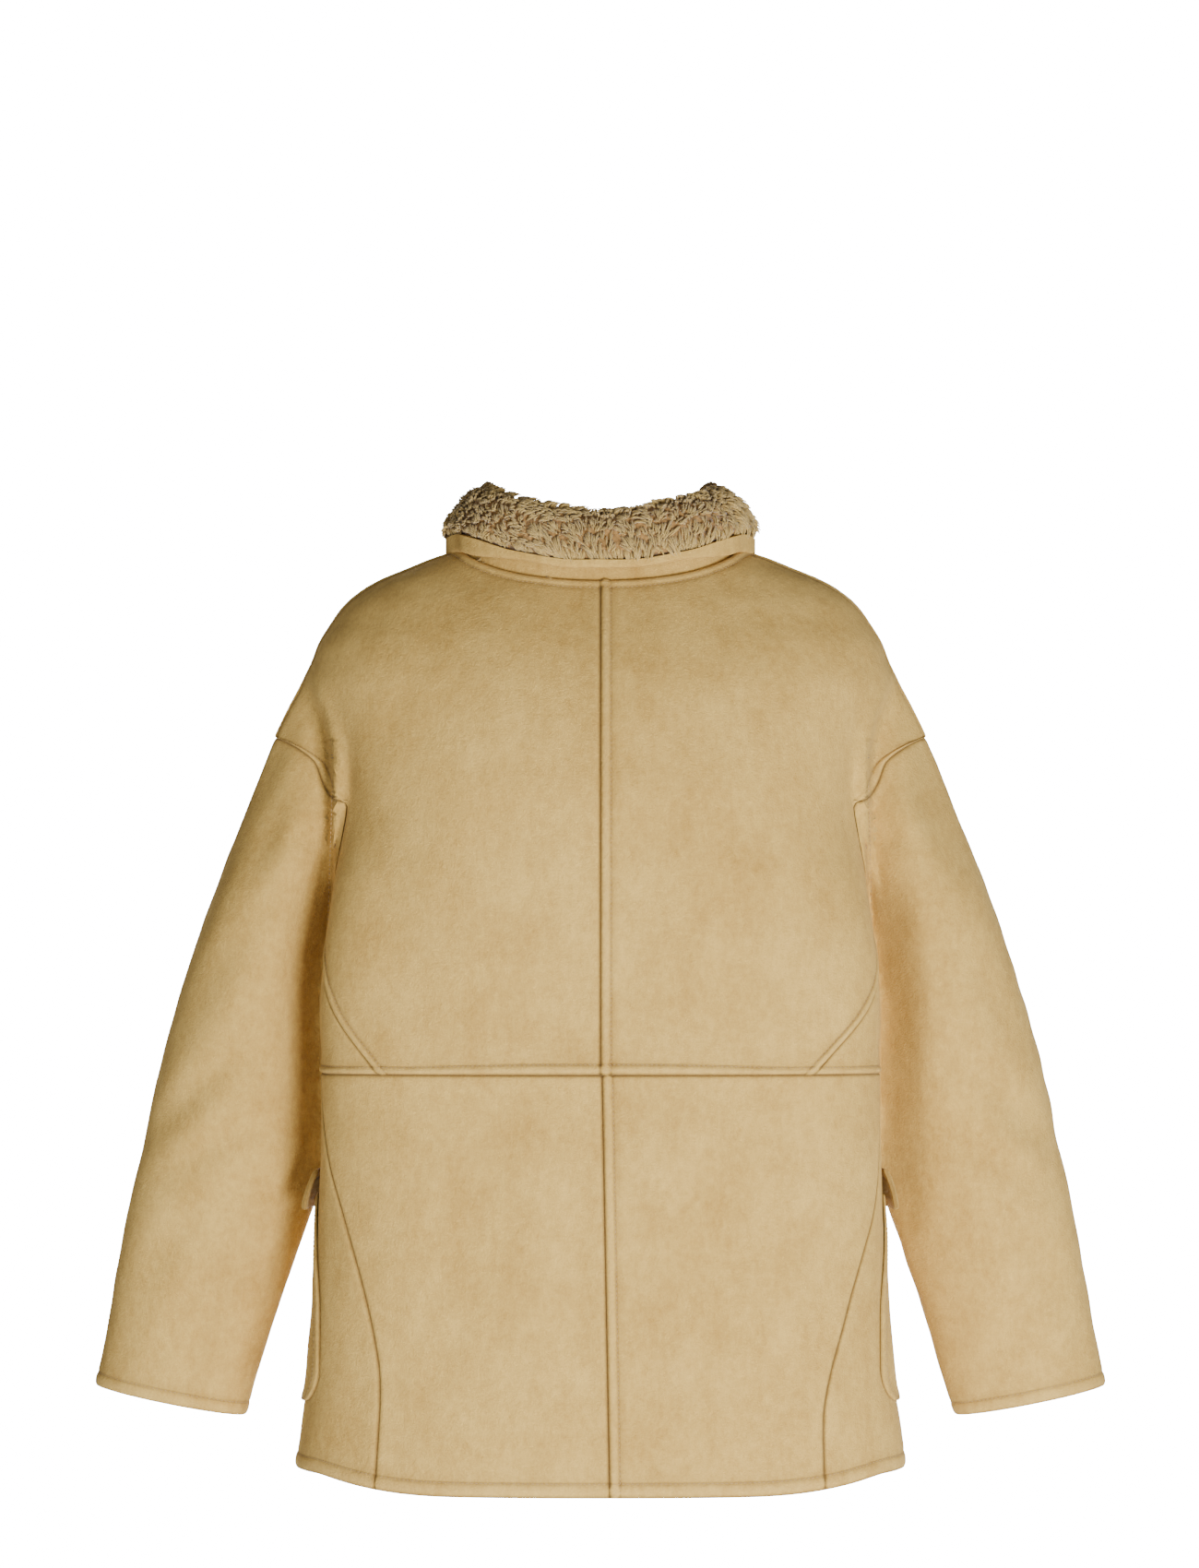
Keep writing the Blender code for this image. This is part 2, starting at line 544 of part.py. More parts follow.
def sleeve(side):
    loop = armhole_loop(side)
    cx, cy, rx, ry = arm_oval(loop[:, 2])
    head_turn = np.degrees(np.arctan2((loop[:, 1] - cy) / ry, (loop[:, 0] - cx) / rx))
    half = ARMHOLE_ROWS
    head_turn = np.where(head_turn < 0, head_turn + 360, head_turn)
    head_turn[0], head_turn[-1] = head_turn[0] % 180, head_turn[0] % 180 + 360
    even_turn = np.concatenate([np.linspace(0, 180, half + 1), np.linspace(180, 360, half + 1)[1:]])
    cuff_z = CUFF_Z + CUFF_TILT * np.cos(np.radians(even_turn))
    length = float(np.mean(loop[:, 2] - cuff_z))
    shares = np.concatenate([np.linspace(0, 1 - CUFF_FOOT / length, SLEEVE_ROWS + 1),
                             [1 - CUFF_CREST / length, 1]])[:, None]
    offset = loop - sleeve_point(head_turn, loop[:, 2])

    def surface(turn_step, share_step):
        share = shares + share_step
        turn = mix(head_turn, even_turn, ease(share / (2 * ARMHOLE_EASE))) + turn_step
        fade = (1 - ease(share / ARMHOLE_EASE))[..., None]
        return sleeve_point(turn, mix(loop[:, 2], cuff_z, share)) + offset * fade

    points = surface(0, 0)
    small = 1e-3
    normal = unit(np.cross(surface(0, small) - surface(0, -small), round_loop(points)))
    raised = np.zeros(points.shape[:2])
    raised[-2:] = HEM_HEIGHT
    outer = points + normal * raised[..., None]
    inner = points - normal * CLOTH
    for grid, distance in ((outer, SEAM_INSET), (inner, SEAM_INSET + INNER_RELIEF)):
        for line, neighbour in ((grid[0], grid[1]), (grid[-1], grid[-2])):
            line += unit(neighbour - line) * distance
        grid[:, -1] = grid[:, 0]
    flip = np.array([side, 1, 1])
    return tuck(outer) * flip, tuck(inner) * flip


def round_loop(grid):
    """Direction along each closed row of a grid whose last column repeats its first."""
    ring = grid[:, :-1]
    along = np.roll(ring, -1, axis=1) - np.roll(ring, 1, axis=1)
    return np.concatenate([along, along[:, :1]], axis=1)


# ---------------------------------------------------------------- pockets and flaps
def patch(side, rows, columns, top_z, height, width_at, seat_at, thick):
    """A patch on the lower front, made from its points moved out; width_at(share down) in mm."""
    grids = []
    for lift in (seat_at, lambda share: seat_at(share) + thick):
        grid = []
        for share in np.linspace(0, 1, rows + 1):
            z = top_z - height * share
            rear, width = width_at(share)
            angle = np.linspace(float(rear), 180, 400)
            points = body_point(angle, np.full(400, z))
            run = np.concatenate([[0], np.cumsum(np.linalg.norm(np.diff(points, axis=0), axis=-1))])
            rear_gap = (POCKET_WIDTH - width) / 2
            at = np.interp(np.linspace(rear_gap, rear_gap + width, columns + 1), run, angle)
            level = np.full(columns + 1, z)
            grid.append(body_point(at, level) + body_normal(at, level) * lift(share))
        grids.append(np.array(grid) * np.array([side, 1, 1]))
    return grids[1], grids[0]


def pocket(side):
    height = POCKET_TOP_Z - POCKET_BOTTOM_Z

    def width_at(share):
        into_corner = max(0.0, POCKET_CORNER - height * (1 - share))
        cut = POCKET_CORNER - np.sqrt(POCKET_CORNER ** 2 - into_corner ** 2)
        return POCKET_REAR_AT(share), POCKET_WIDTH - 2 * cut

    return patch(side, 8, 10, POCKET_TOP_Z, height, width_at, lambda share: POCKET_SEAT,
                 POCKET_CLOTH)


def pocket_flap(side):
    corner = 0.75

    def width_at(share):
        cut = 4.0 * max(0.0, (share - corner) / (1 - corner)) ** 2
        return POCKET_REAR[0].angle, POCKET_WIDTH + FLAP_OVERHANG - 2 * cut

    def lift(share):
        return FLAP_SEAT + (FLAP_LIFT - FLAP_SEAT) * np.sin(share * np.pi / 2)

    return patch(side, 3, 9, FLAP_TOP_Z, FLAP_HEIGHT, width_at, lift, FLAP_CLOTH)


# ---------------------------------------------------------------- collar
def neck_ring(count):
    """Points and outward directions along the neck seam, from one collar end round to the other."""
    angle = np.linspace(0, 180, 400)
    points = body_point(angle, neck_level(angle))
    run = np.concatenate([[0], np.cumsum(np.linalg.norm(np.diff(points, axis=0), axis=-1))])
    end = run[-1] - COLLAR_END
    where = np.linspace(-end, end, count)
    at = np.interp(np.abs(where), run, angle)
    place = body_point(at, neck_level(at))
    place[:, 0] *= np.where(where < 0, -1, 1)
    along = np.gradient(place, axis=0) * np.array([1, 1, 0])
    outward = unit(np.cross(along, np.array([0, 0, 1.0])) * -1)
    return place, outward, np.abs(where) / run[-1]


def collar_profile(share):
    """Closed section of the collar: outward offset and height from the neck seam."""
    lean, rise, drop, flare = (float(COLLAR_AT[name](share)) for name in CollarStation._fields[1:])
    thick = COLLAR_SUEDE + COLLAR_PILE
    top = rise + COLLAR_PILE
    low = top - drop
    under = COLLAR_FOLD - lean
    return [
        (-COLLAR_INSET, COLLAR_BASE), (-COLLAR_INSET - 0.45 * lean, 0.5 * rise),
        (-COLLAR_INSET - lean, rise - 2),
        (under, rise - 2), (under + 0.4 * flare, mix(rise, low, 0.45)), (under + flare, low),
        (under + flare + thick - 2, low + 1), (under + flare + thick + 1, mix(low, top, 0.18)),
        (under + 0.6 * flare + thick + 2, mix(low, top, 0.48)),
        (under + 0.2 * flare + thick, mix(low, top, 0.78)), (under + 3, top - 2),
        (-lean - 2, top), (-lean - thick + 2, top - 4), (-lean - thick - 1, rise - 4),
        (-0.5 * lean - thick, 0.5 * rise), (-thick, COLLAR_BASE),
    ]


def edge_profile(share):
    """Closed section of the bound lower edge of the fall."""
    lean, rise, drop, flare = (float(COLLAR_AT[name](share)) for name in CollarStation._fields[1:])
    inner = COLLAR_FOLD - lean + flare
    outer = inner + COLLAR_SUEDE + COLLAR_PILE - 2 - EDGE_INSET
    top = rise + COLLAR_PILE - drop - EDGE_SEAT
    return [(inner, top), (inner, top - EDGE_HEIGHT + 1), (inner + 1, top - EDGE_HEIGHT),
            (outer - 1, top - EDGE_HEIGHT), (outer, top - EDGE_HEIGHT + 1), (outer, top)]


def sweep_round_neck(profile):
    place, outward, share = neck_ring(COLLAR_STATIONS)
    sections = []
    for centre, out, at in zip(place, outward, share):
        sections.append([centre + out * step + np.array([0, 0, up]) for step, up in profile(at)])
    return np.array(sections)


# ---------------------------------------------------------------- Blender objects
def material(finish):
    made = bpy.data.materials.get(finish)
    if made is None:
        made = bpy.data.materials.new(finish)
        made.use_nodes = True
        shader = made.node_tree.nodes["Principled BSDF"]
        shader.inputs["Base Color"].default_value = (*FINISHES[finish].colour, 1)
        shader.inputs["Roughness"].default_value = FINISHES[finish].roughness
        shader.inputs["Metallic"].default_value = 0
    return made


def node(name, mesh, finish, collection):
    """Closes off a mesh as one named object."""
    bmesh.ops.recalc_face_normals(mesh, faces=mesh.faces[:])
    data = bpy.data.meshes.new(name)
    mesh.to_mesh(data)
    mesh.free()
    data.shade_smooth()
    data.set_sharp_from_angle(angle=np.radians(40))
    data.materials.append(material(finish))
    made = bpy.data.objects.new(name, data)
    collection.objects.link(made)
    return made


def sheet(grid):
    """A mesh of rows and columns at a grid of points, and the layer that numbers them."""
    mesh = bmesh.new()
    rows, count = grid.shape[:2]
    bmesh.ops.create_grid(mesh, x_segments=count - 1, y_segments=rows - 1, size=1)
    number = mesh.verts.layers.int.new("number")
    for place, (vert, point) in enumerate(zip(mesh.verts, grid.reshape(-1, 3))):
        vert[number] = place
        vert.co = point * MM
    return mesh, number


def cloth(name, outer, inner, collection, finish="suede", ring=False):
    """A wall of cloth between two grids of points; a ring's first and last columns are joined."""
    mesh, number = sheet(outer)
    if ring:
        bmesh.ops.remove_doubles(mesh, verts=mesh.verts[:], dist=1e-6)
    whole = mesh.verts[:] + mesh.edges[:] + mesh.faces[:]
    made = bmesh.ops.extrude_face_region(mesh, geom=whole, use_keep_orig=True)
    places = inner.reshape(-1, 3) * MM
    for part in made["geom"]:
        if isinstance(part, bmesh.types.BMVert):
            part.co = places[part[number]]
    return node(name, mesh, finish, collection)


def swept(name, sections, finish, collection):
    """A solid through closed sections, capped at both ends."""
    grid = np.concatenate([sections, sections[:, :1]], axis=1)
    mesh, _ = sheet(grid)
    bmesh.ops.remove_doubles(mesh, verts=mesh.verts[:], dist=1e-6)
    rim = [edge for edge in mesh.edges if edge.is_boundary]
    bmesh.ops.holes_fill(mesh, edges=rim)
    bmesh.ops.triangulate(mesh, faces=mesh.faces[:], quad_method="FIXED", ngon_method="EAR_CLIP")
    return node(name, mesh, finish, collection)


def button(name, z, collection):
    """A turned button on the right front's middle line, its back face square to -Y."""
    mesh = bmesh.new()
    bmesh.ops.create_cone(mesh, cap_ends=True, segments=20, radius1=BUTTON_RADIUS * MM,
                          radius2=BUTTON_RADIUS * MM, depth=BUTTON_THICK * MM)
    rim = [edge for edge in mesh.edges if edge.calc_face_angle(0) > 1 and edge.verts[0].co.z > 0
           and edge.verts[1].co.z > 0]
    bmesh.ops.bevel(mesh, geom=rim, offset=BUTTON_RIM * MM, affect="EDGES", segments=1,
                    profile=0.5, material=-1)
    made = node(name, mesh, "button_horn", collection)
    level = np.linspace(z - BUTTON_RADIUS, z + BUTTON_RADIUS, 9)
    front_y = body_point(np.full(9, 180.0), level)[:, 1].min()
    made.location = (0, (front_y - BUTTON_SEAT - BUTTON_THICK / 2) * MM, z * MM)
    made.rotation_euler = (np.pi / 2, 0, 0)
    return made


def build():
    for old in list(bpy.data.objects):
        bpy.data.objects.remove(old, do_unlink=True)
    collection = bpy.data.collections.new("faux_shearling_jacket")
    bpy.context.scene.collection.children.link(collection)
    for side, word in ((LEFT, "left"), (RIGHT, "right")):
        cloth("upper_back_" + word, *upper_back(side), collection)
        cloth("upper_front_" + word, *upper_front(side), collection)
        cloth("lower_back_" + word, *lower(side, True), collection)
        cloth("lower_front_" + word, *lower(side, False), collection)
        cloth("sleeve_" + word, *sleeve(side), collection, ring=True)
        cloth("pocket_" + word, *pocket(side), collection)
        cloth("pocket_flap_" + word, *pocket_flap(side), collection)
    swept("collar", sweep_round_neck(collar_profile), "collar_fur", collection)
    swept("collar_edge", sweep_round_neck(edge_profile), "suede", collection)
    for count, z in enumerate(BUTTON_Z, 1):
        button("button_%d" % count, z, collection)


build()
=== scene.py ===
"""Looks of the hip-length faux shearling jacket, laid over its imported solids.

The first half repeats the cut of the jacket from the part's own named sizes, in millimetres, on a
finer grid. The second half adds sewing, pile, buttons, finishes, light and camera.
"""

from collections import namedtuple

import bmesh
import bpy
import numpy as np
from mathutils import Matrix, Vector


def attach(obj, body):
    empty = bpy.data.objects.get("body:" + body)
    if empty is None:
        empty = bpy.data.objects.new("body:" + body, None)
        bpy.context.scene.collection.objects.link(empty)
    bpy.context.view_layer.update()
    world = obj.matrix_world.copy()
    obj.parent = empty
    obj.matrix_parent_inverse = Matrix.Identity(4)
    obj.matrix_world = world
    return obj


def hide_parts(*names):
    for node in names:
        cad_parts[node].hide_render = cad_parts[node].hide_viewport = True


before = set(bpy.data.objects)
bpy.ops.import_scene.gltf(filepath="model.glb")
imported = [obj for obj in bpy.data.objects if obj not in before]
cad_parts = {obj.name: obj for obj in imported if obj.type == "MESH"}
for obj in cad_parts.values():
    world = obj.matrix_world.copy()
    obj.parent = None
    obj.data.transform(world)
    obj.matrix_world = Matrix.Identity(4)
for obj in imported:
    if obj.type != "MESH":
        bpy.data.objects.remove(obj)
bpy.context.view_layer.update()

MM = 0.001
LEFT, RIGHT = 1, -1    # the wearer's sides, as signs of X


def table(fields, *rows):
    """Rows of numbers, with a name for each column."""
    named = namedtuple("Row", fields)
    return [named(*row) for row in rows]


# ---- driving sizes, millimetres
CLOTH = 3.0            # suede face with its short pile
WAIST_Z = -415.0
HEM_SIDE_Z, HEM_BACK_DIP = -723.5, 12.5
HEM_DIP_FROM, HEM_DIP_FADE = 0.45, 0.45        # cosines of the angle: its start, and its way to full
OVERLAP = 20.0         # each front passes the centre front by this much
LAP_DEPTH = 6.0        # the left front lies this far under the right one
LAP_FLAT, LAP_FADE = 46.0, 80.0        # how wide that step is level, and then runs out
BACK_NECK_DROP, FRONT_NECK_DROP = 29.7, 84.0
BACK_NECK_CURVE, FRONT_NECK_CURVE = 3.5, 7.0
FRONT_NECK_EASE = 0.14  # share of the front drop that is spread evenly round the neck

BODY = table("z half_width widest_y back_y front_y back_square front_square",
    (10, 96, 3, 42, -34, 2.0, 2.0), (0, 117, 3, 50, -42, 2.0, 2.0), (-8, 139, 3, 57, -47, 2.0, 2.0),
    (-16, 158, 4, 65, -52, 2.0, 2.0), (-25, 179, 5, 73, -57, 2.0, 2.0),
    (-34, 193.5, 5, 81, -62, 2.0, 2.0), (-44, 204.5, 6, 89, -67, 2.05, 2.0),
    (-60, 215.5, 6, 100, -75, 2.1, 2.1), (-80, 226, 6, 112, -85, 2.2, 2.2),
    (-105, 228, 6, 124, -96, 2.3, 2.3), (-128, 221, 6, 132, -105, 2.4, 2.5),
    (-150, 213, 7, 138, -114, 2.5, 2.6), (-175, 207, 8, 143, -122, 2.6, 2.7),
    (-204, 205, 12, 147, -130, 2.6, 2.7), (-236, 206, 30, 148, -136, 2.6, 2.6),
    (-268, 209, 50, 149, -140, 2.6, 2.4), (-323, 216, 62, 149, -144, 2.6, 2.3),
    (-372, 220, 62, 148, -147, 2.6, 2.3), (-415, 219, 58, 148, -149, 2.6, 2.3),
    (-490, 220.5, 53, 150, -151, 2.6, 2.3), (-566, 223.5, 49, 153, -154, 2.55, 2.3),
    (-640, 229, 46, 157, -157, 2.5, 2.3), (-690, 236, 44, 160, -160, 2.5, 2.3),
    (-745, 243, 42, 163, -162, 2.5, 2.3))

ARM = table("z outer_x inner_x centre_y half_depth",
    (10, 40, 20, 0, 8), (-20, 110, 50, 0, 26), (-60, 194, 80, 0, 48), (-80, 215, 90, 0, 54),
    (-99, 234, 98, 0, 58), (-117, 245, 106, 0, 61), (-134, 253.5, 115, 0, 63),
    (-151, 261.5, 125, 0, 65), (-168, 269, 136, 0, 66), (-204, 283.5, 160, 0, 67),
    (-239, 298, 185, -3, 69), (-275, 311.5, 208, -7, 71), (-310, 324, 214, -11, 71),
    (-346, 336.5, 216.5, -14, 70), (-382, 348, 217, -17, 68), (-417, 357, 217, -20, 66),
    (-453, 365, 218, -23, 63.5), (-489, 373, 222, -25, 61), (-519, 379.5, 231, -27, 58.5),
    (-543, 384.5, 239.5, -29, 56), (-597, 395.5, 257, -34, 50), (-651, 406, 274, -38, 44),
    (-715, 417, 295, -42, 38))
ARM_FILLET = 15.0          # how softly the shoulder flows on to the arm
SOFT_FOLD_Z, SHARP_FOLD_Z = -160.0, -204.0     # the fold behind the arm sharpens between these
FOLD = table("z line depth",  # the back's side edge, which hangs out over the back of the arm
    (-300, 224, 0), (-257, 214, 6), (-225, 209, 12), (-188, 208, 18), (-162, 209, 20),
    (-137, 214.5, 17), (-118, 223, 12), (-99, 232, 5), (-86, 238, 0))
FOLD_STEP = 8.0            # how wide the fold's side is
FOLD_DEEP_Y, FOLD_NONE_Y = 44.0, -8.0    # how far back the cloth is where the fold is full, and gone
HOLLOW = table("z depth",  # a hollow in the arm beside that edge, which lies in shadow
    (-86, 0), (-115, 7), (-150, 12), (-210, 14), (-280, 26), (-440, 38), (-540, 26), (-610, 0))
HOLLOW_STEP, HOLLOW_WIDTH = 5.0, 42.0
HOLLOW_SWITCH_Z = -236.0   # it follows the fold's line above this level, and the torso's side below
HOLLOW_START_Y, HOLLOW_DEEP = -24.0, 72.0      # it is full this far behind the level where it starts
CUFF_Z, CUFF_TILT = -681.5, 12.5   # middle of the cuff's edge; its outer end is higher
ARMHOLE_EASE = 0.16        # share of the sleeve in which its head turns into a round tube

# Seams are given round the body: 0 is the centre back, 90 the side, 180 the centre front
UPPER_SIDE_SEAM = table("z left_angle right_angle",
    (-415, 46.0, 43.7), (-392, 53.5, 51.5), (-361, 65.5, 65.5), (-331, 79, 82), (-300, 93, 95),
    (-268, 102, 102))
LOWER_SIDE_SEAM = table("z left_angle right_angle",
    (-415, 81, 85), (-431, 78, 82), (-487, 65.5, 74), (-516, 58.8, 68.5), (-549, 53.2, 60.5),
    (-580, 49, 54.5), (-611, 45.8, 50), (-640, 43.6, 46), (-672, 42.6, 43), (-735, 42, 41.5))
LOWER_CENTRE_BACK = table("z drift",  # the lower centre back seam runs off to the wearer's right
    (-735, 7.0), (-560, 3.8), (-415, 1.2))
# The armhole's seam: share 0 is at its top, and 1 under the arm
ARMHOLE = table("share back_angle front_angle back_z front_z",
    (0.00, 92, 92, -147, -147), (0.12, 83, 101, -150, -149), (0.25, 74.5, 110, -158, -157),
    (0.36, 69.6, 116, -172, -173), (0.50, 68.6, 119, -200, -202), (0.66, 74, 118.5, -230, -228),
    (0.80, 82, 114, -249, -248), (1.00, 102, 102, -268, -268))
SHOULDER_NECK_ANGLE = 84.0     # the shoulder seam lies a little behind the ridge of the shoulder

# Patch pocket and flap, on the lower front
POCKET_TOP_Z, POCKET_BOTTOM_Z = -510.0, -671.0
POCKET_REAR = table("share angle",  # angle of its rear edge, by the share of the way down
    (0, 86), (0.25, 77), (0.5, 69.5), (1, 63.5))
POCKET_WIDTH, POCKET_CORNER = 168.0, 26.0
POCKET_CLOTH, POCKET_SEAT = 1.6, 0.7
FLAP_TOP_Z, FLAP_HEIGHT, FLAP_CLOTH = -491.0, 32.0, 4.0
FLAP_SEAT, FLAP_LIFT, FLAP_OVERHANG = 1.0, 9.0, 5.0

# Collar: one folded strip round the neck, pile on the neck side and on the outside of its fall
# The share is of the way from the centre back to the centre front
COLLAR = table("share lean rise fall_drop flare",
    (0.00, 6, 48, 42.5, 7), (0.09, 6, 51, 46, 7), (0.18, 9, 54, 47, 8), (0.27, 14, 52.5, 44, 11),
    (0.34, 18.5, 49, 42.5, 15), (0.45, 24, 43, 42, 20), (0.60, 21, 42.5, 43.5, 19.5),
    (0.78, 13, 42, 49, 19), (0.92, 8, 41, 56, 17), (1.00, 6, 40, 60, 15))
COLLAR_SUEDE, COLLAR_PILE = 2.0, 10.0
COLLAR_FOLD = 3.0          # space between stand and fall
COLLAR_END = 5.0           # each end stops this far from the centre front
COLLAR_BASE, COLLAR_INSET = -1.6, 1.0   # the stand's foot, sewn in behind the neck seam
EDGE_HEIGHT, EDGE_INSET, EDGE_SEAT = 5.0, 2.0, 1.4
EDGE_SIDE_HEIGHT = 8.0     # the bound edge is deeper where it rests on the shoulders
EDGE_SIDE = table("share fade", (0.17, 0.15), (0.7, -0.2))     # between these shares of the way round

BUTTON_RADIUS = 13.0
BUTTON_Z = (-128.0, -252.0, -376.0, -500.0, -624.0)
BUTTON_SEAT = 0.35
UPPER_BUTTONS = 3          # so many of them are above the waist


# ---- curves through short tables
def column(rows, name):
    """A smooth function of a table's first column, through one of its other columns."""
    rows = sorted(rows)
    x = np.array([row[0] for row in rows], float)
    y = np.array([getattr(row, name) for row in rows], float)
    step = np.diff(x)
    slope = np.diff(y) / step
    rising = slope[:-1] * slope[1:] > 0
    before, after = np.where(rising, slope[:-1], 1), np.where(rising, slope[1:], 1)
    weight_before, weight_after = 2 * step[1:] + step[:-1], step[1:] + 2 * step[:-1]
    middle = (weight_before + weight_after) / (weight_before / before + weight_after / after)
    tangent = np.concatenate([[slope[0]], np.where(rising, middle, 0), [slope[-1]]])

    def at(value):
        value = np.asarray(value, float)
        i = np.clip(np.searchsorted(x, value) - 1, 0, len(step) - 1)
        t = np.clip((value - x[i]) / step[i], 0, 1)
        ends = (2 * t ** 3 - 3 * t ** 2 + 1) * y[i] + (3 * t ** 2 - 2 * t ** 3) * y[i + 1]
        bends = (t ** 3 - 2 * t ** 2 + t) * tangent[i] + (t ** 3 - t ** 2) * tangent[i + 1]
        return ends + bends * step[i]

    return at


def columns(rows):
    return {name: column(rows, name) for name in rows[0]._fields[1:]}


BODY_AT, ARM_AT, ARMHOLE_AT, COLLAR_AT, FOLD_AT = map(columns, (BODY, ARM, ARMHOLE, COLLAR, FOLD))
HOLLOW_AT = columns(HOLLOW)
UPPER_SIDE_AT, LOWER_SIDE_AT = columns(UPPER_SIDE_SEAM), columns(LOWER_SIDE_SEAM)
CENTRE_BACK_DRIFT = column(LOWER_CENTRE_BACK, "drift")
POCKET_REAR_AT = column(POCKET_REAR, "angle")


def ease(t):
    t = np.clip(t, 0, 1)
    return t * t * (3 - 2 * t)


def mix(a, b, t):
    return a + (b - a) * t


def soft_max(a, b, width):
    width = np.maximum(width, 1e-6)
    t = np.clip(0.5 + (a - b) / (2 * width), 0, 1)
    return mix(b, a, t) + width * t * (1 - t)


def unit(vectors):
    return vectors / np.linalg.norm(vectors, axis=-1, keepdims=True)


def along_line(points):
    """Distance of each point of a line from its first one, along the line."""
    return np.concatenate([[0], np.cumsum(np.linalg.norm(np.diff(points, axis=0), axis=-1))])


def points_at(where, distance, points):
    """Points of a line at some distances along it."""
    return np.stack([np.interp(where, distance, values) for values in points.T], -1)


def mirrored(points, side):
    """Turns points of the wearer's left half into points of one side, and back."""
    return points * np.array([side, 1, 1])


def seam_angle(seam, side, z):
    return seam["left_angle" if side == LEFT else "right_angle"](z)


# ---- the body's outer surface
def torso(angle, z):
    """x and y of the torso without its shoulders' reach over the arms."""
    sine, cosine = np.sin(np.radians(angle)), np.cos(np.radians(angle))
    widest = BODY_AT["widest_y"](z)
    depth = np.where(cosine > 0, BODY_AT["back_y"](z) - widest, widest - BODY_AT["front_y"](z))
    square = np.where(cosine > 0, BODY_AT["back_square"](z), BODY_AT["front_square"](z))
    reach = (np.abs(sine) ** square + np.abs(cosine) ** square) ** (-1 / square)
    return BODY_AT["half_width"](z) * sine * reach, widest + depth * cosine * reach


def arm_oval(z):
    """Centre and half sizes of the sleeve's level section."""
    outer, inner = ARM_AT["outer_x"](z), ARM_AT["inner_x"](z)
    return (outer + inner) / 2, ARM_AT["centre_y"](z), (outer - inner) / 2, ARM_AT["half_depth"](z)


def far_side_of_arm(dx, dy, z):
    """How far out from the middle a level ray leaves the arm; it drops off where the ray misses."""
    cx, cy, rx, ry = arm_oval(z)
    ux, uy, px, py = dx / rx, dy / ry, -cx / rx, -cy / ry
    a, b, c = ux * ux + uy * uy, px * ux + py * uy, px * px + py * py - 1
    inside = b * b - a * c
    return (-b + np.sign(inside) * np.sqrt(np.abs(inside))) / a


def body_point(angle, z):
    """The body with its dropped shoulders, for the wearer's left half (angle from 0 to 180)."""
    angle, z = np.broadcast_arrays(np.asarray(angle, float), np.asarray(z, float))
    x, y = torso(angle, z)
    length = np.hypot(x, y)
    dx, dy = x / length, y / length
    over_arm = far_side_of_arm(np.abs(dx), dy, z)
    softness = ARM_FILLET * ease((z - SHARP_FOLD_Z) / (SOFT_FOLD_Z - SHARP_FOLD_Z))
    reach = np.where(z > SHARP_FOLD_Z, soft_max(length, over_arm, softness), length)
    return np.stack([dx * reach, dy * reach, z], -1)


def body_normal(angle, z):
    angle_step, z_step = 0.2, 0.2
    round_body = body_point(angle + angle_step, z) - body_point(angle - angle_step, z)
    up = body_point(angle, z + z_step) - body_point(angle, z - z_step)
    return unit(np.cross(round_body, up)) * -1


def tuck(points):
    """Moves the back of the arm forward, under the side edge of the back."""
    x, y, z = np.moveaxis(points, -1, 0)
    out = ease((x - FOLD_AT["line"](z)) / FOLD_STEP)
    depth = FOLD_AT["depth"](z) * out * ease((y - FOLD_NONE_Y) / (FOLD_DEEP_Y - FOLD_NONE_Y))
    return np.stack([x, y - depth, z], -1)


def hollow(points):
    """Deepens the shadow line between the side edge of the back and the arm beside it."""
    x, y, z = np.moveaxis(points, -1, 0)
    beyond = x - np.where(z > HOLLOW_SWITCH_Z, FOLD_AT["line"](z), BODY_AT["half_width"](z)) - 1
    near = ease(beyond / HOLLOW_STEP) * ease((HOLLOW_WIDTH - beyond) / HOLLOW_WIDTH)
    depth = HOLLOW_AT["depth"](z) * near * ease((y - HOLLOW_START_Y) / HOLLOW_DEEP)
    return np.stack([x, y - depth, z], -1)


def neck_level(angle):
    cosine = np.cos(np.radians(angle))
    back = -BACK_NECK_DROP * np.abs(cosine) ** BACK_NECK_CURVE
    front = -FRONT_NECK_DROP * mix(np.abs(cosine) ** FRONT_NECK_CURVE, cosine ** 2,
                                   FRONT_NECK_EASE)
    return np.where(cosine > 0, back, front)


def below_neck(angle, distance):
    """Level at a distance down the cloth from the neck seam."""
    level = neck_level(angle)
    slope = body_point(angle, level) - body_point(angle, level - 1)
    return level - distance / np.linalg.norm(slope, axis=-1)


def hem_level(angle):
    cosine = np.cos(np.radians(angle))
    return HEM_SIDE_Z - HEM_BACK_DIP * ease((cosine - HEM_DIP_FROM) / HEM_DIP_FADE)


def front_edge_angle(z):
    """Angle at which the body passes the centre front by OVERLAP."""
    half = BODY_AT["half_width"](z)
    return 180 + np.degrees(np.arcsin(OVERLAP / half))


# ---- the finer grid, and sewn relief
SEAM_STEPS = (0.9, 2.2, 4.2, 6.2, 7.3, 8.2, 9.3, 11.2, 14.5, 19.0)
HEM_STEPS = (1.2, 3.0, 5.5, 8.0, 9.6, 10.8, 11.9, 13.5, 16.5, 21.0)
BACK_ROW_LEVELS, FRONT_ROW_LEVELS = (-258.0, -168.0), (-272.0, -152.0)
BACK_COLUMNS, LOWER_BACK_COLUMNS, FRONT_COLUMNS = 64, 48, 78
SIDE_ROWS, ARMHOLE_ROWS, SHOULDER_ROWS, LOWER_ROWS, SLEEVE_ROWS = 28, 44, 36, 54, 112
FINE = np.linspace(0, 1, 420)

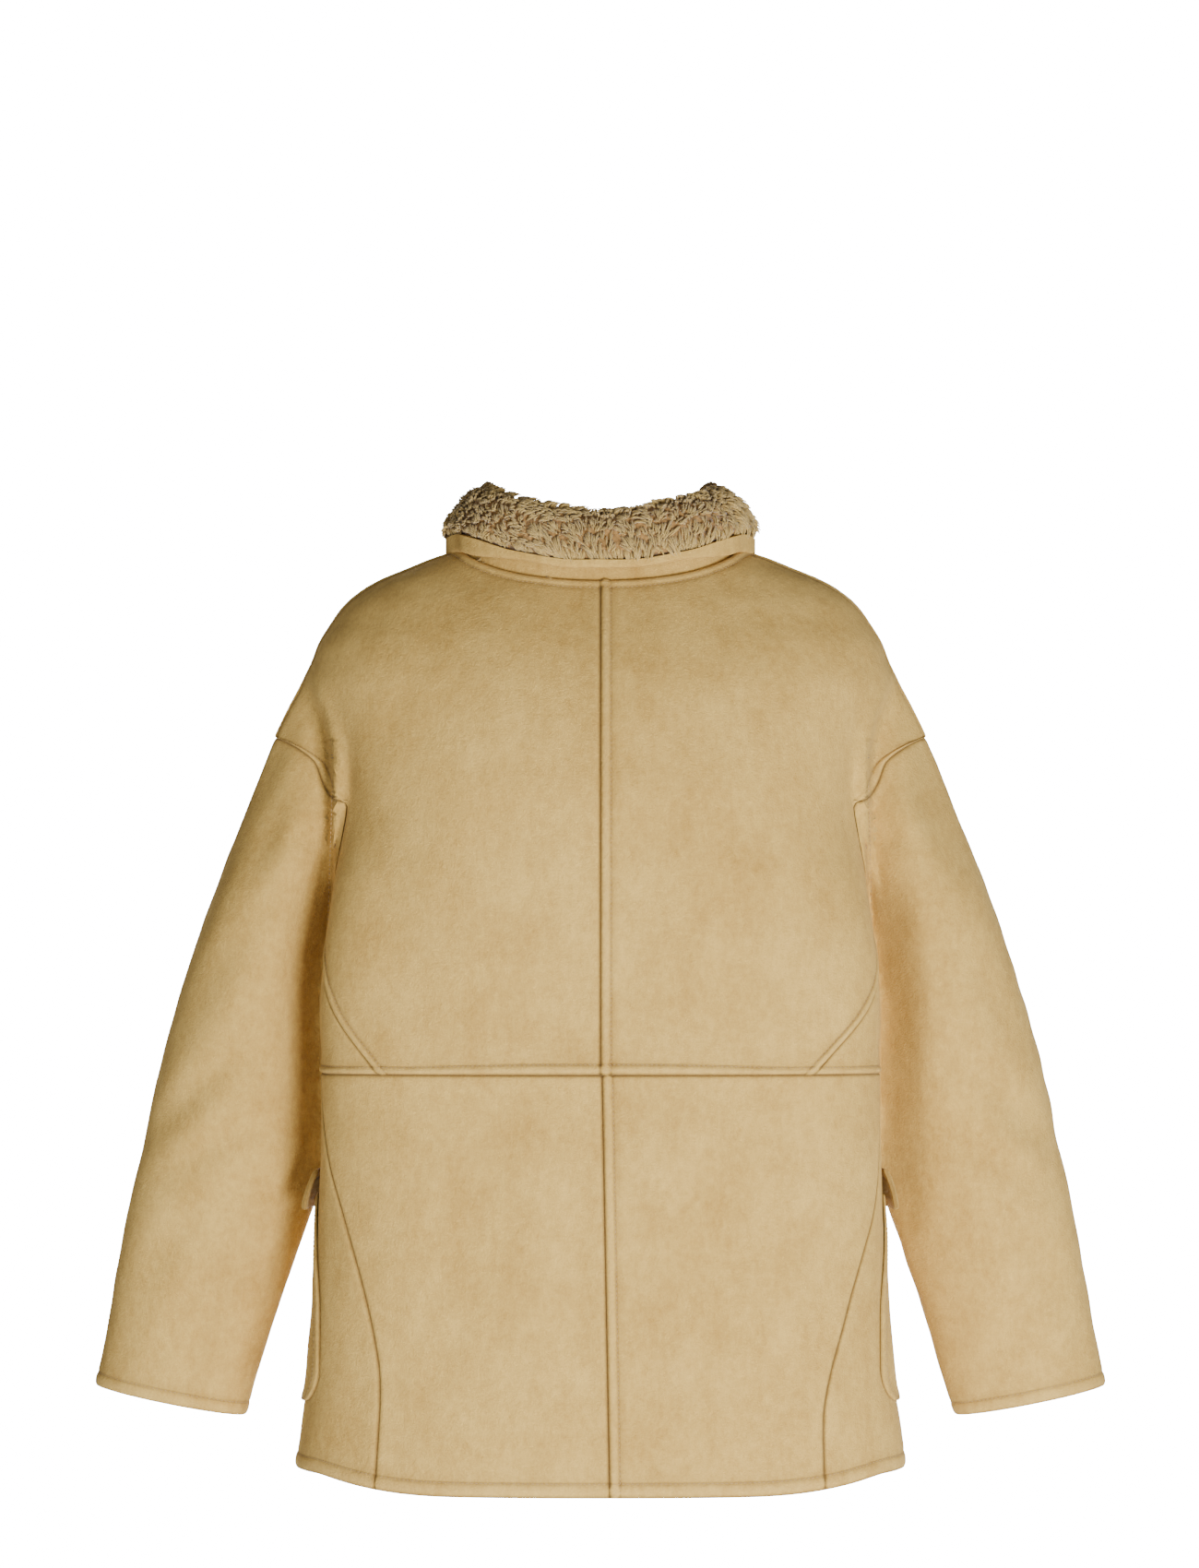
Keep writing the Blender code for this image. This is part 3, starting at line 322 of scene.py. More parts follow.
SEWN_DOWN = table("distance height",  # the side of a seam that its allowances are topstitched to
    (0, -0.5), (0.9, 0.9), (2.2, 1.6), (4.2, 1.8), (6.2, 1.55), (7.3, 0.8), (8.2, -0.25),
    (9.3, 0.1), (11.2, 0.35), (14.5, 0.2), (19, 0))
PLAIN_SIDE = table("distance height",
    (0, -1.0), (0.9, -0.2), (2.2, 0.3), (4.2, 0.5), (7.3, 0.4), (11.2, 0.2), (16, 0))
TURNED_UP = table("distance height",  # hems, cuffs and free edges
    (0, -0.5), (1.2, 0.45), (3.0, 0.95), (5.5, 1.05), (8.0, 0.95), (9.6, 0.55), (10.8, -0.25),
    (11.9, 0.05), (13.5, 0.3), (16.5, 0.2), (21, 0))
NECK_STEPS = SEAM_STEPS[::-1] + (0,)
SEAM_GAP, SEAM_LIP = 0.05, 0.4         # the inner faces of two pieces lap a little in the seam
STITCH_LINE, HEM_STITCH_LINE = 8.1, 10.8       # distance of the topstitching from its seam or edge


def rise(distance, profile):
    return np.interp(distance, [row.distance for row in profile], [row.height for row in profile])


def bumps(distance, rows):
    """Sum of soft bumps, each with its place, width and height."""
    return sum(row.height * np.exp(-((distance - row.place) / row.width) ** 2) for row in rows)


def strongest(*heights):
    """Of several reliefs, the one that moves the cloth furthest at each point."""
    stack = np.array(np.broadcast_arrays(*heights))
    return np.take_along_axis(stack, np.abs(stack).argmax(0)[None], 0)[0]


def ripple(points, length, seed):
    """Even, soft waves of about one length in all directions, between -1 and 1."""
    random = np.random.default_rng(seed)
    waves = unit(random.normal(size=(9, 3))) * 2 * np.pi / length * random.uniform(0.7, 1.5, (9, 1))
    return np.sin(points @ waves.T + random.uniform(0, 2 * np.pi, 9)).sum(-1) / 4.2


def runs(points, axis):
    """Distance along the rows (axis 1) or up the columns (axis 0) of a grid, from both ends."""
    steps = np.linalg.norm(np.diff(points, axis=axis), axis=-1)
    from_start = np.insert(np.cumsum(steps, axis), 0, 0, axis)
    return from_start, np.take(from_start, [-1], axis) - from_start


def even_out(grid, times, ring=False):
    """Smooths a grid of points inside its edges."""
    for _ in range(times):
        old = grid.copy()
        grid[1:-1, 1:-1] = (old[:-2, 1:-1] + old[2:, 1:-1] + old[1:-1, :-2] + old[1:-1, 2:]
                            + 2 * old[1:-1, 1:-1]) / 6
        if ring:
            grid[1:-1, 0] = (old[:-2, 0] + old[2:, 0] + old[1:-1, 1] + old[1:-1, -2]
                             + 2 * old[1:-1, 0]) / 6
            grid[1:-1, -1] = grid[1:-1, 0]
    return grid


def grid_normal(grid, ring=False):
    along, up = np.gradient(grid, axis=1), np.gradient(grid, axis=0)
    if ring:
        along[:, 0] = along[:, -1] = (grid[:, 1] - grid[:, -2]) / 2
    return unit(even_out(unit(np.cross(up, along)), 3, ring))


# ---- rows of a panel
def evenly(points, count):
    """Shares, evenly spaced along a line of points."""
    run = along_line(points)
    return np.interp(np.linspace(0, run[-1], count + 1), run, np.linspace(0, 1, len(points)))


def spaced(start_steps, end_steps, total, count):
    """Places along a run: the sewn relief's own steps at both ends, and even ones between."""
    start, end = np.array(start_steps), np.array(end_steps)
    return np.concatenate([[0], start[:-1], np.linspace(start[-1], total - end[-1], count + 1),
                           total - end[-2::-1], [total]])


def levels_from_waist(underarm_z):
    """Levels of the rows from the waist seam up to the underarm."""
    steps = np.array(SEAM_STEPS)
    return np.concatenate([[WAIST_Z], WAIST_Z + steps[:-1],
                           np.linspace(WAIST_Z + steps[-1], underarm_z, SIDE_ROWS + 1)])


def levels_to_neck(angle):
    """Levels of the rows below the neck seam, from the end of its relief up to the seam."""
    return [float(below_neck(angle, step)) for step in NECK_STEPS]


def side_and_shoulder(side, back):
    """Angle and level of each row's end on the side seam, the armhole and the shoulder seam."""
    low = levels_from_waist(ARMHOLE[-1].back_z)
    face = "back" if back else "front"
    fine = np.linspace(1, 0, 300)
    trace = body_point(ARMHOLE_AT[face + "_angle"](fine), ARMHOLE_AT[face + "_z"](fine))
    share = 1 - evenly(trace, ARMHOLE_ROWS)[1:]
    hole_angle, hole_z = ARMHOLE_AT[face + "_angle"](share), ARMHOLE_AT[face + "_z"](share)
    run = np.linspace(0, 1, 200)
    shoulder_angle = mix(ARMHOLE[0].back_angle, SHOULDER_NECK_ANGLE, run)
    below, *top_z = levels_to_neck(SHOULDER_NECK_ANGLE)
    shoulder_z = mix(ARMHOLE[0].back_z, below, run)
    share_up = evenly(body_point(shoulder_angle, shoulder_z), SHOULDER_ROWS)[1:]
    angle = np.concatenate([seam_angle(UPPER_SIDE_AT, side, low), hole_angle,
                            np.interp(share_up, run, shoulder_angle),
                            [SHOULDER_NECK_ANGLE] * len(top_z)])
    level = np.concatenate([low, hole_z, np.interp(share_up, run, shoulder_z), top_z])
    return angle, level


def row_marks():
    """Row numbers of an upper panel: underarm, top of the armhole, lowest row at the neck."""
    underarm = SIDE_ROWS + len(SEAM_STEPS)
    top = underarm + ARMHOLE_ROWS
    return underarm, top, top + SHOULDER_ROWS


def centre_levels(underarm_z, shoulder_z, centre_angle):
    """Level of each row's end at the centre back or the centre front."""
    below, *top = levels_to_neck(centre_angle)
    hole = np.linspace(underarm_z, shoulder_z, ARMHOLE_ROWS + 1)[1:]
    high = np.linspace(shoulder_z, below, SHOULDER_ROWS + 1)[1:]
    return np.concatenate([levels_from_waist(underarm_z), hole, high, top])


def lay_row(angle, z, count, back):
    """Points of the columns along one finely traced row, from its rear end to its front end."""
    points = body_point(angle, z)
    run = along_line(points)
    where = spaced(SEAM_STEPS, SEAM_STEPS if back else HEM_STEPS, run[-1], count)
    return body_point(np.interp(where, run, angle), np.interp(where, run, z))


def upper_panel(side, back):
    """Rows from the waist seam up to the neck seam, each from its rear end to its front end."""
    edge_angle, edge_z = side_and_shoulder(side, back)
    _, top, neck_row = row_marks()
    if back:
        centre_angle = np.zeros(len(edge_z))
        centre_z = centre_levels(*BACK_ROW_LEVELS, 0)
    else:
        centre_z = centre_levels(*FRONT_ROW_LEVELS, 180)
        centre_angle = front_edge_angle(centre_z)
    rows = []
    for row in range(len(edge_z)):
        ends = (centre_angle[row], centre_z[row]), (edge_angle[row], edge_z[row])
        (start_angle, start_z), (end_angle, end_z) = ends if back else ends[::-1]
        angle, z = mix(start_angle, end_angle, FINE), mix(start_z, end_z, FINE)
        if row >= neck_row:
            z = below_neck(angle, NECK_STEPS[row - neck_row])
        elif row > top:
            follow = ((row - top) / (neck_row - top)) ** 1.5
            neck = below_neck(angle, SEAM_STEPS[-1])
            z = z + follow * (neck - mix(neck[0], neck[-1], FINE))
        rows.append(lay_row(angle, z, BACK_COLUMNS if back else FRONT_COLUMNS, back))
    return np.array(rows)


def lower_panel(side, back):
    """Rows from the hem up to the waist seam."""
    height = WAIST_Z - HEM_SIDE_Z
    rows = []
    for share in spaced(np.array(HEM_STEPS) / height, np.array(SEAM_STEPS) / height, 1, LOWER_ROWS):
        level, centre_z = mix(HEM_SIDE_Z, WAIST_Z, share), mix(hem_level(0), WAIST_Z, share)
        drift = np.degrees(CENTRE_BACK_DRIFT(centre_z) / BODY_AT["half_width"](centre_z))
        at_side = seam_angle(LOWER_SIDE_AT, side, level)
        start, end = (-side * drift, at_side) if back else (at_side, front_edge_angle(level))
        angle = mix(start, end, FINE)
        z = mix(hem_level(angle), WAIST_Z, share)
        rows.append(lay_row(angle, z, LOWER_BACK_COLUMNS if back else FRONT_COLUMNS, back))
    return np.array(rows)


# ---- soft folds, placed one by one
# Place, tilt from upright in degrees, size and depth; back is 1 behind and -1 in front
CREASES = table("x z tilt length width depth back",
    (-262, -212, 20, 70, 16, 2.6, 1), (-238, -236, 35, 60, 13, 2.2, 1),
    (262, -226, -25, 62, 15, 2.2, 1), (300, -330, -32, 90, 18, 2.4, 1),
    (-306, -346, 28, 96, 20, 2.6, 1), (322, -430, -50, 84, 15, 2.8, 1),
    (-330, -446, 46, 92, 17, 2.6, 1), (305, -472, -62, 76, 14, 2.4, 1),
    (-312, -486, 60, 70, 13, 2.2, 1), (352, -560, -38, 88, 16, 1.8, 1),
    (-356, -575, 34, 86, 16, 1.8, 1), (322, -640, -12, 80, 14, 1.4, 1),
    (150, -300, 8, 190, 34, 1.5, 1), (-132, -330, -6, 210, 38, 1.5, 1),
    (60, -260, 4, 240, 44, -1.3, 1), (-46, -250, -3, 230, 46, -1.2, 1),
    (118, -610, -5, 190, 30, 1.6, 1), (-96, -600, 6, 200, 32, 1.7, 1),
    (46, -640, 3, 150, 26, -1.3, 1), (-168, -560, 10, 170, 26, 1.3, 1),
    (176, -250, 24, 120, 20, 1.8, 1), (-178, -246, -24, 118, 20, 1.9, 1),
    (250, -240, -20, 90, 16, 2.4, -1), (-250, -240, 22, 94, 16, 2.4, -1),
    (318, -440, -52, 86, 15, 3.0, -1), (-318, -440, 50, 88, 16, 3.0, -1),
    (300, -480, -64, 74, 13, 2.6, -1), (-302, -484, 60, 76, 13, 2.6, -1),
    (160, -250, 30, 140, 22, 2.0, -1), (-160, -250, -30, 140, 22, 2.0, -1),
    (110, -350, 12, 180, 30, 1.6, -1), (-112, -340, -12, 180, 30, 1.6, -1),
    (90, -620, -5, 180, 28, 1.6, -1), (-92, -630, 6, 180, 28, 1.6, -1))


def soft_folds(points):
    """Height of the troughs and the low swell between them, at points of the whole jacket."""
    x, y, z = np.moveaxis(points, -1, 0)
    height = 0.8 * ripple(points * np.array([1, 1, 0.45]), 95, 11) + 0.25 * ripple(points, 34, 12)
    for crease in CREASES:
        tilt = np.radians(crease.tilt)
        dx, dz = x - crease.x, z - crease.z
        across = dx * np.cos(tilt) - dz * np.sin(tilt)
        along = dx * np.sin(tilt) + dz * np.cos(tilt)
        across = across + 0.05 * along * np.sin(along / crease.length * 3)
        shape = np.exp(-(across / crease.width) ** 2) - 0.45 * np.exp(-(across / crease.width / 2) ** 2)
        reach = np.exp(-(along / crease.length * 1.6) ** 2)
        height -= crease.depth * 1.4 * shape * reach * ease(y * crease.back / 30 + 0.4)
    return height


# ---- from a panel to a wall of cloth
Wall = namedtuple("Wall", "outer inner shade paths cut")
Edge = namedtuple("Edge", "distance sewn line")    # sewn down from 0 to 1; distance of its stitches
END, BOTTOM = 1, 2         # numbers of those edges of a panel
PILE_RELIEF = 0.8          # the inner pile rises and sinks by this much
NOWHERE = 1e3              # a distance beyond any line of stitches
# Painted shade in seams and stitch grooves, and a painted highlight on the crest: place, width and
# height
SEAM_SHADE = table("place width height", (0, 1.15, -1))
CREST_PAINTED_HIGHLIGHT = table("place width height", (4.2, 2.2, 0.42))
STITCH_SHADE = table("place width height", (0, 0.9, -0.55), (2, 3, -0.12))
CALM_EDGE = 22.0           # the soft folds and the inner curls fade out this near to an edge
PUCKER, PUCKER_LENGTH, PUCKER_WIDTH = 0.28, 13, 4      # gathers along the topstitching
COVERED = 0.8              # the sewn relief is this much lower where one front covers the other


def pull_back(grid, distance):
    """Stops a grid of points short of its four edges, square to each edge."""
    for line, neighbour in ((grid[0], grid[1]), (grid[-1], grid[-2]),
                            (grid[:, 0], grid[:, 1]), (grid[:, -1], grid[:, -2])):
        along = unit(np.gradient(line, axis=0))
        inward = neighbour - line
        inward = inward - along * np.sum(inward * along, -1, keepdims=True)
        line += unit(inward) * distance


def cut_of(grid):
    """Width, length and area of the flat cut of a grid of cloth, in metres."""
    along, up = np.diff(grid, axis=1)[:-1], np.diff(grid, axis=0)[:, :-1]
    area = np.linalg.norm(np.cross(along, up), axis=-1).sum()
    width, length = runs(grid, 1)[0].max(), runs(grid, 0)[0].max()
    return width * MM, length * MM, area * MM * MM


def traced(points, distance, value):
    """The line across a grid where the distance from one of its edges has a value."""
    line = []
    for places, gone in zip(points, distance):
        order = np.argsort(gone)
        if gone.min() <= value <= gone.max():
            line.append([np.interp(value, gone[order], places[order, k]) for k in range(3)])
    return np.array(line)


def shading(edges):
    """Painted shade in seams and stitch grooves, a painted highlight on the sewn-down side's crest."""
    shade = 0
    for edge in edges:
        shade = shade + bumps(edge.distance, SEAM_SHADE)
        shade = shade + edge.sewn * (bumps(edge.distance, CREST_PAINTED_HIGHLIGHT)
                                     + bumps(edge.distance - edge.line, STITCH_SHADE))
    return np.clip(shade, -1, 1)


def lapped_under(from_end, side):
    """How deep the left front lies under the right one, by the distance from its free edge."""
    if side == RIGHT:
        return np.zeros(from_end.shape)
    return LAP_DEPTH * (1 - ease((from_end - LAP_FLAT) / LAP_FADE))


def pile_curls(points):
    return 0.9 * ripple(points, 9, 5) + 0.5 * ripple(points, 5.5, 6)


def faces(surface, normal, lift, inner_lift, pile):
    """Outer and inner grids of points, a cloth's thickness apart, with the pile's curls inside."""
    curls = np.clip(pile_curls(surface) * pile, -PILE_RELIEF, PILE_RELIEF)
    return (surface + normal * lift[..., None],
            surface + normal * (inner_lift - CLOTH - curls)[..., None])


def wall(points, side, sewn, turned_up, sunk):
    """A panel of cloth, from its points; its edges come in the order start, end, bottom and top.

    sewn is how far an edge is topstitched on this side of it, from 0 to 1, for each edge, and
    turned_up holds the numbers of the edges that are hems. The panel lies sunk mm deeper.
    """
    distances = (*runs(points, 1), *runs(points, 0))
    edges = [Edge(distance, share * np.ones(distance.shape),
                  HEM_STITCH_LINE if number in turned_up else STITCH_LINE)
             for number, (distance, share) in enumerate(zip(distances, sewn))]
    raised = strongest(*(
        rise(edge.distance, TURNED_UP) if number in turned_up else
        mix(rise(edge.distance, PLAIN_SIDE), rise(edge.distance, SEWN_DOWN), edge.sewn)
        for number, edge in enumerate(edges))) * (1 - COVERED * sunk / LAP_DEPTH)
    surface = even_out(points.copy(), 2)
    calm = np.prod([ease(edge.distance / CALM_EDGE) for edge in edges], axis=0)
    swell = soft_folds(mirrored(surface, side)) * calm
    gathers = PUCKER * ripple(surface, PUCKER_LENGTH, 31)
    pucker = sum(edge.sewn * gathers * np.exp(-((edge.distance - edge.line - 1) / PUCKER_WIDTH) ** 2)
                 for edge in edges)
    outer, inner = faces(surface, grid_normal(surface), raised + swell + pucker - sunk,
                         swell - sunk, calm)
    pull_back(outer, SEAM_GAP)
    pull_back(inner, -SEAM_LIP)
    outer, inner = (mirrored(hollow(tuck(grid)), side) for grid in (outer, inner))
    lines = []
    for number, edge in enumerate(edges):
        distance = np.where(edge.sewn > 0.5, edge.distance, NOWHERE)
        lines.append(traced(outer, distance, edge.line) if number < 2 else
                     traced(outer.swapaxes(0, 1), distance.T, edge.line))
    return Wall(outer, inner, shading(edges), lines, cut_of(surface))


def upper(side, back):
    """Back or front above the waist; the seam at the armhole is topstitched on its upper part."""
    underarm, top, _ = row_marks()
    points = upper_panel(side, back)
    rows = np.arange(len(points))[:, None]
    along_hole = ease((rows - underarm - 0.45 * ARMHOLE_ROWS) / (0.2 * ARMHOLE_ROWS))
    if back:
        along_side = 1 - ease((rows - underarm + SIDE_ROWS / 2) / (SIDE_ROWS / 2))
        sewn = float(side == RIGHT), np.maximum(along_side, along_hole), 1, 1
        return wall(points, side, sewn, (), 0)
    return wall(points, side, (along_hole * (rows <= top), 1, 1, 1), (END,),
                lapped_under(runs(points, 1)[1], side))


def lower(side, back):
    """Back or front below the waist."""
    points = lower_panel(side, back)
    if back:
        return wall(points, side, (float(side == RIGHT), 0, 1, 0), (BOTTOM,), 0)
    return wall(points, side, (0, 1, 1, 0), (END, BOTTOM), lapped_under(runs(points, 1)[1], side))


# ---- sleeves
HEAD_TUCK = 3.0            # the sleeve's head lies this far in, behind the side edge of the back
HEAD_TUCK_AREA = table("axis start fade",  # where it does so: from a place on X, Y or Z (0, 1 or 2)
    (0, 186, 8), (0, 234, -26), (2, -168, -24), (2, -340, 60), (1, 6, 50))
HEAD_TUCK_FROM_SEAM = 12   # and the way to its full depth from the armhole seam
SLEEVE_SEAM_TURN = 214     # the sleeve's own seam runs down its inner side, to the front
SLEEVE_RADIUS = 50         # about how far that seam is from the middle of the arm
SLEEVE_SEAM = table("place width height", (0, 1.6, -0.8), (6, 4, 0.3))
SLEEVE_FOLDS, SLEEVE_CALM = 1.5, 25.0          # its soft folds are deeper, and fade out at both ends


def sleeve_point(turn, z):
    """The sleeve's oval; turn is in degrees from its outer side towards the back."""
    cx, cy, rx, ry = arm_oval(z)
    sine, cosine = np.sin(np.radians(turn)), np.cos(np.radians(turn))
    return np.stack([cx + rx * cosine, cy + ry * sine, z], -1)


def armhole_loop(side):
    """Points of the armhole seam, from its top down the back, and up the front to the top."""
    underarm, top, _ = row_marks()
    loop = []
    for back in (True, False):
        angle, z = side_and_shoulder(side, back)
        points = body_point(angle[underarm:top + 1], z[underarm:top + 1])
        loop.append(points[::-1] if back else points)
    return np.concatenate([loop[0], loop[1][1:]])


def sleeve(side):
    loop = armhole_loop(side)
    cx, cy, rx, ry = arm_oval(loop[:, 2])
    head_turn = np.degrees(np.arctan2((loop[:, 1] - cy) / ry, (loop[:, 0] - cx) / rx))
    head_turn = np.where(head_turn < 0, head_turn + 360, head_turn)
    head_turn[0], head_turn[-1] = head_turn[0] % 180, head_turn[0] % 180 + 360
    even_turn = np.linspace(0, 360, 2 * ARMHOLE_ROWS + 1)
    cuff_z = CUFF_Z + CUFF_TILT * np.cos(np.radians(even_turn))
    length = float(np.mean(loop[:, 2] - cuff_z))
    shares = spaced(np.array(SEAM_STEPS) / length, np.array(HEM_STEPS) / length, 1,
                    SLEEVE_ROWS)[:, None]
    offset = loop - sleeve_point(head_turn, loop[:, 2])
    turn = mix(head_turn, even_turn, ease(shares / (2 * ARMHOLE_EASE)))
    fade = (1 - ease(shares / ARMHOLE_EASE))[..., None]
    points = sleeve_point(turn, mix(loop[:, 2], cuff_z, shares)) + offset * fade
    points = even_out(points, 2, ring=True)
    from_head, from_cuff = runs(points, 0)
    from_seam = np.abs(turn - SLEEVE_SEAM_TURN) * np.radians(1) * SLEEVE_RADIUS
    swell = (SLEEVE_FOLDS * soft_folds(mirrored(points, side))
             * ease(from_head / SLEEVE_CALM) * ease(from_cuff / SLEEVE_CALM))
    raised = (strongest(rise(from_head, PLAIN_SIDE), rise(from_cuff, TURNED_UP))
              + bumps(from_seam, SLEEVE_SEAM))
    outer, inner = faces(points, grid_normal(points, ring=True), raised + swell, swell,
                         ease(from_cuff / 8))
    for grid, distance in ((outer, SEAM_GAP), (inner, -SEAM_LIP)):
        for line, neighbour in ((grid[0], grid[1]), (grid[-1], grid[-2])):
            line += unit(neighbour - line) * distance
        grid[:, -1] = grid[:, 0]
    for grid in (outer, inner):
        tucked = [ease((grid[..., row.axis] - row.start) / row.fade) for row in HEAD_TUCK_AREA]
        grid[..., 1] -= (HEAD_TUCK * ease(from_head / HEAD_TUCK_FROM_SEAM)
                         * np.prod(tucked, axis=0))
    outer, inner = (mirrored(hollow(tuck(grid)), side) for grid in (outer, inner))
    shade = shading([Edge(from_head, 0, 0), Edge(from_cuff, 1, HEM_STITCH_LINE),
                     Edge(from_seam, 0, 0)])
    stitches = traced(outer.swapaxes(0, 1), from_cuff.T, HEM_STITCH_LINE)
    return Wall(outer, inner, shade, [stitches], cut_of(points))


# ---- pockets and flaps
PATCH_ROWS, PATCH_COLUMNS, FLAP_ROWS = 56, 60, 18
PATCH_DROP, PATCH_ROUND = 1.2, 2.0             # its edges drop by this much, within this distance
PATCH_RELIEF, PATCH_SHADE = 0.6, 0.7           # beside those of a hem
PATCH_SWELL, PATCH_SWELL_LENGTH, PATCH_CALM = 0.5, 50, 20
TRACE = 400                # points of a finely traced line


def patch(side, rows, top_z, height, width_at, seat_at, thick):
    """A patch on the lower front, made from its points moved out.

    By the share of the way down, width_at gives the angle where it starts and its width, and
    seat_at how far off the cloth it lies.
    """
    base, normal, lifts = [], [], []
    across = (1 - np.cos(np.linspace(0, np.pi, PATCH_COLUMNS + 1))) / 2
    for share in (1 - np.cos(np.linspace(0, np.pi, rows + 1))) / 2:
        z = top_z - height * share
        rear, width = width_at(share)
        angle = np.linspace(float(rear), 180, TRACE)
        points = body_point(angle, np.full(TRACE, z))
        run = along_line(points)
        rear_gap = (POCKET_WIDTH - width) / 2
        at = np.interp(rear_gap + width * across, run, angle)
        level = np.full(PATCH_COLUMNS + 1, z)
        from_front_edge = run[-1] + OVERLAP - rear_gap - width * across
        base.append(body_point(at, level))
        normal.append(body_normal(at, level))
        lifts.append(seat_at(share) - lapped_under(from_front_edge, side))
    base, normal = np.array(base), np.array(normal)
    lifts = np.array(lifts) + soft_folds(mirrored(base, side))
    from_rear, from_front, from_top, from_bottom = *runs(base, 1), *runs(base, 0)
    nearest = np.min((from_rear, from_front, from_top, from_bottom), 0)
    round_off = PATCH_DROP * (1 - ease(nearest / PATCH_ROUND))
    swell = PATCH_SWELL * ripple(base, PATCH_SWELL_LENGTH, 21) * ease(nearest / PATCH_CALM)
    lifted = lifts + thick + rise(nearest, TURNED_UP) * PATCH_RELIEF + swell - round_off
    outer = mirrored(base + normal * lifted[..., None], side)
    inner = mirrored(base + normal * (lifts + 0.4 * round_off)[..., None], side)
    shade = shading([Edge(nearest, 1, STITCH_LINE)]) * PATCH_SHADE
    lines = [traced(outer, from_rear, STITCH_LINE), traced(outer, from_front, STITCH_LINE),
             traced(outer.swapaxes(0, 1), from_bottom.T, STITCH_LINE)]
    return Wall(outer, inner, shade, lines, cut_of(base))


def pocket(side):
    height = POCKET_TOP_Z - POCKET_BOTTOM_Z

    def width_at(share):
        into_corner = max(0.0, POCKET_CORNER - height * (1 - share))
        cut = POCKET_CORNER - np.sqrt(POCKET_CORNER ** 2 - into_corner ** 2)
        return POCKET_REAR_AT(share), POCKET_WIDTH - 2 * cut

    return patch(side, PATCH_ROWS, POCKET_TOP_Z, height, width_at, lambda share: POCKET_SEAT,
                 POCKET_CLOTH)


def pocket_flap(side):
    corner = 0.75

    def width_at(share):
        cut = 4.0 * max(0.0, (share - corner) / (1 - corner)) ** 2
        return POCKET_REAR[0].angle, POCKET_WIDTH + FLAP_OVERHANG - 2 * cut

    def lift(share):
        return FLAP_SEAT + (FLAP_LIFT - FLAP_SEAT) * np.sin(share * np.pi / 2)

    return patch(side, FLAP_ROWS, FLAP_TOP_Z, FLAP_HEIGHT, width_at, lift, FLAP_CLOTH)


# ---- collar
COLLAR_ROWS, SUEDE_COLUMNS, PILE_COLUMNS = 300, 20, 72
UNDERCOAT = 5.0            # the locks stand on a base this far under the collar's own outline


def neck_ring(count):
    """Points and outward directions along the neck seam, from one collar end round to the other."""
    angle = np.linspace(0, 180, TRACE)
    points = body_point(angle, neck_level(angle))
    run = along_line(points)
    end = run[-1] - COLLAR_END
    where = np.linspace(-end, end, count)
    at = np.interp(np.abs(where), run, angle)
    place = body_point(at, neck_level(at))
    place[:, 0] *= np.where(where < 0, -1, 1)
    along = np.gradient(place, axis=0) * np.array([1, 1, 0])
    outward = unit(np.cross(along, np.array([0, 0, 1.0])) * -1)
    return place, outward, np.abs(where) / run[-1]


def collar_sizes(share):
    """Lean, rise, drop of the fall and flare, at a share of the way to the centre front."""
    return [float(curve(share)) for curve in COLLAR_AT.values()]


def collar_profile(share):
    """Closed section of the collar: outward offset and height from the neck seam."""
    lean, rise, drop, flare = collar_sizes(share)
    thick = COLLAR_SUEDE + COLLAR_PILE
    top = rise + COLLAR_PILE
    low = top - drop
    under = COLLAR_FOLD - lean
    return [
        (-COLLAR_INSET, COLLAR_BASE), (-COLLAR_INSET - 0.45 * lean, 0.5 * rise),
        (-COLLAR_INSET - lean, rise - 2),
        (under, rise - 2), (under + 0.4 * flare, mix(rise, low, 0.45)), (under + flare, low),
        (under + flare + thick - 2, low + 1), (under + flare + thick + 1, mix(low, top, 0.18)),
        (under + 0.6 * flare + thick + 2, mix(low, top, 0.48)),
        (under + 0.2 * flare + thick, mix(low, top, 0.78)), (under + 3, top - 2),
        (-lean - 2, top), (-lean - thick + 2, top - 4), (-lean - thick - 1, rise - 4),
        (-0.5 * lean - thick, 0.5 * rise), (-thick, COLLAR_BASE),
    ]


def edge_profile(share):
    """Closed section of the bound lower edge of the fall."""
    lean, rise, drop, flare = collar_sizes(share)
    inner = COLLAR_FOLD - lean + flare
    outer = inner + COLLAR_SUEDE + COLLAR_PILE - 2 - EDGE_INSET
    top = rise + COLLAR_PILE - drop - EDGE_SEAT
    at_side = np.prod([ease((share - row.share) / row.fade) for row in EDGE_SIDE])
    height = EDGE_HEIGHT + EDGE_SIDE_HEIGHT * at_side
    return [(inner, top + 1), (inner, top - height + 1), (inner + 1, top - height),
            (outer - 1, top - height), (outer, top - height + 1), (outer, top + 1)]


def rounded(points, count, times):
    """An open line through a few points, finely divided and with softened corners."""
    points = np.array(points, float)
    run = along_line(points)
    line = points_at(np.linspace(0, run[-1], count + 1), run, points)
    for _ in range(times):
        line[1:-1] = (line[:-2] + line[2:]) / 4 + line[1:-1] / 2
    return line


def round_neck(profile, count):
    """Open grid of points: one row for each station round the neck."""
    place, outward, share = neck_ring(count)
    rows = []
    for centre, out, at in zip(place, outward, share):
        line = profile(at)
        rows.append(centre + out * line[:, :1] + np.array([0, 0, 1]) * line[:, 1:])
    return np.array(rows)


def suede_side(share):
    return rounded(collar_profile(share)[:6], SUEDE_COLUMNS, 2)


def pile_side(share):
    points = collar_profile(share)
    return rounded(points[5:] + points[:1], PILE_COLUMNS, 8)


def edge_side(share):
    return rounded(edge_profile(share), 24, 3)


def pile_outline():
    """The collar's pile surface and its outward normals."""
    surface = round_neck(pile_side, COLLAR_ROWS + 1)
    along, round_section = np.gradient(surface, axis=0), np.gradient(surface, axis=1)
    return surface, unit(np.cross(round_section, along))


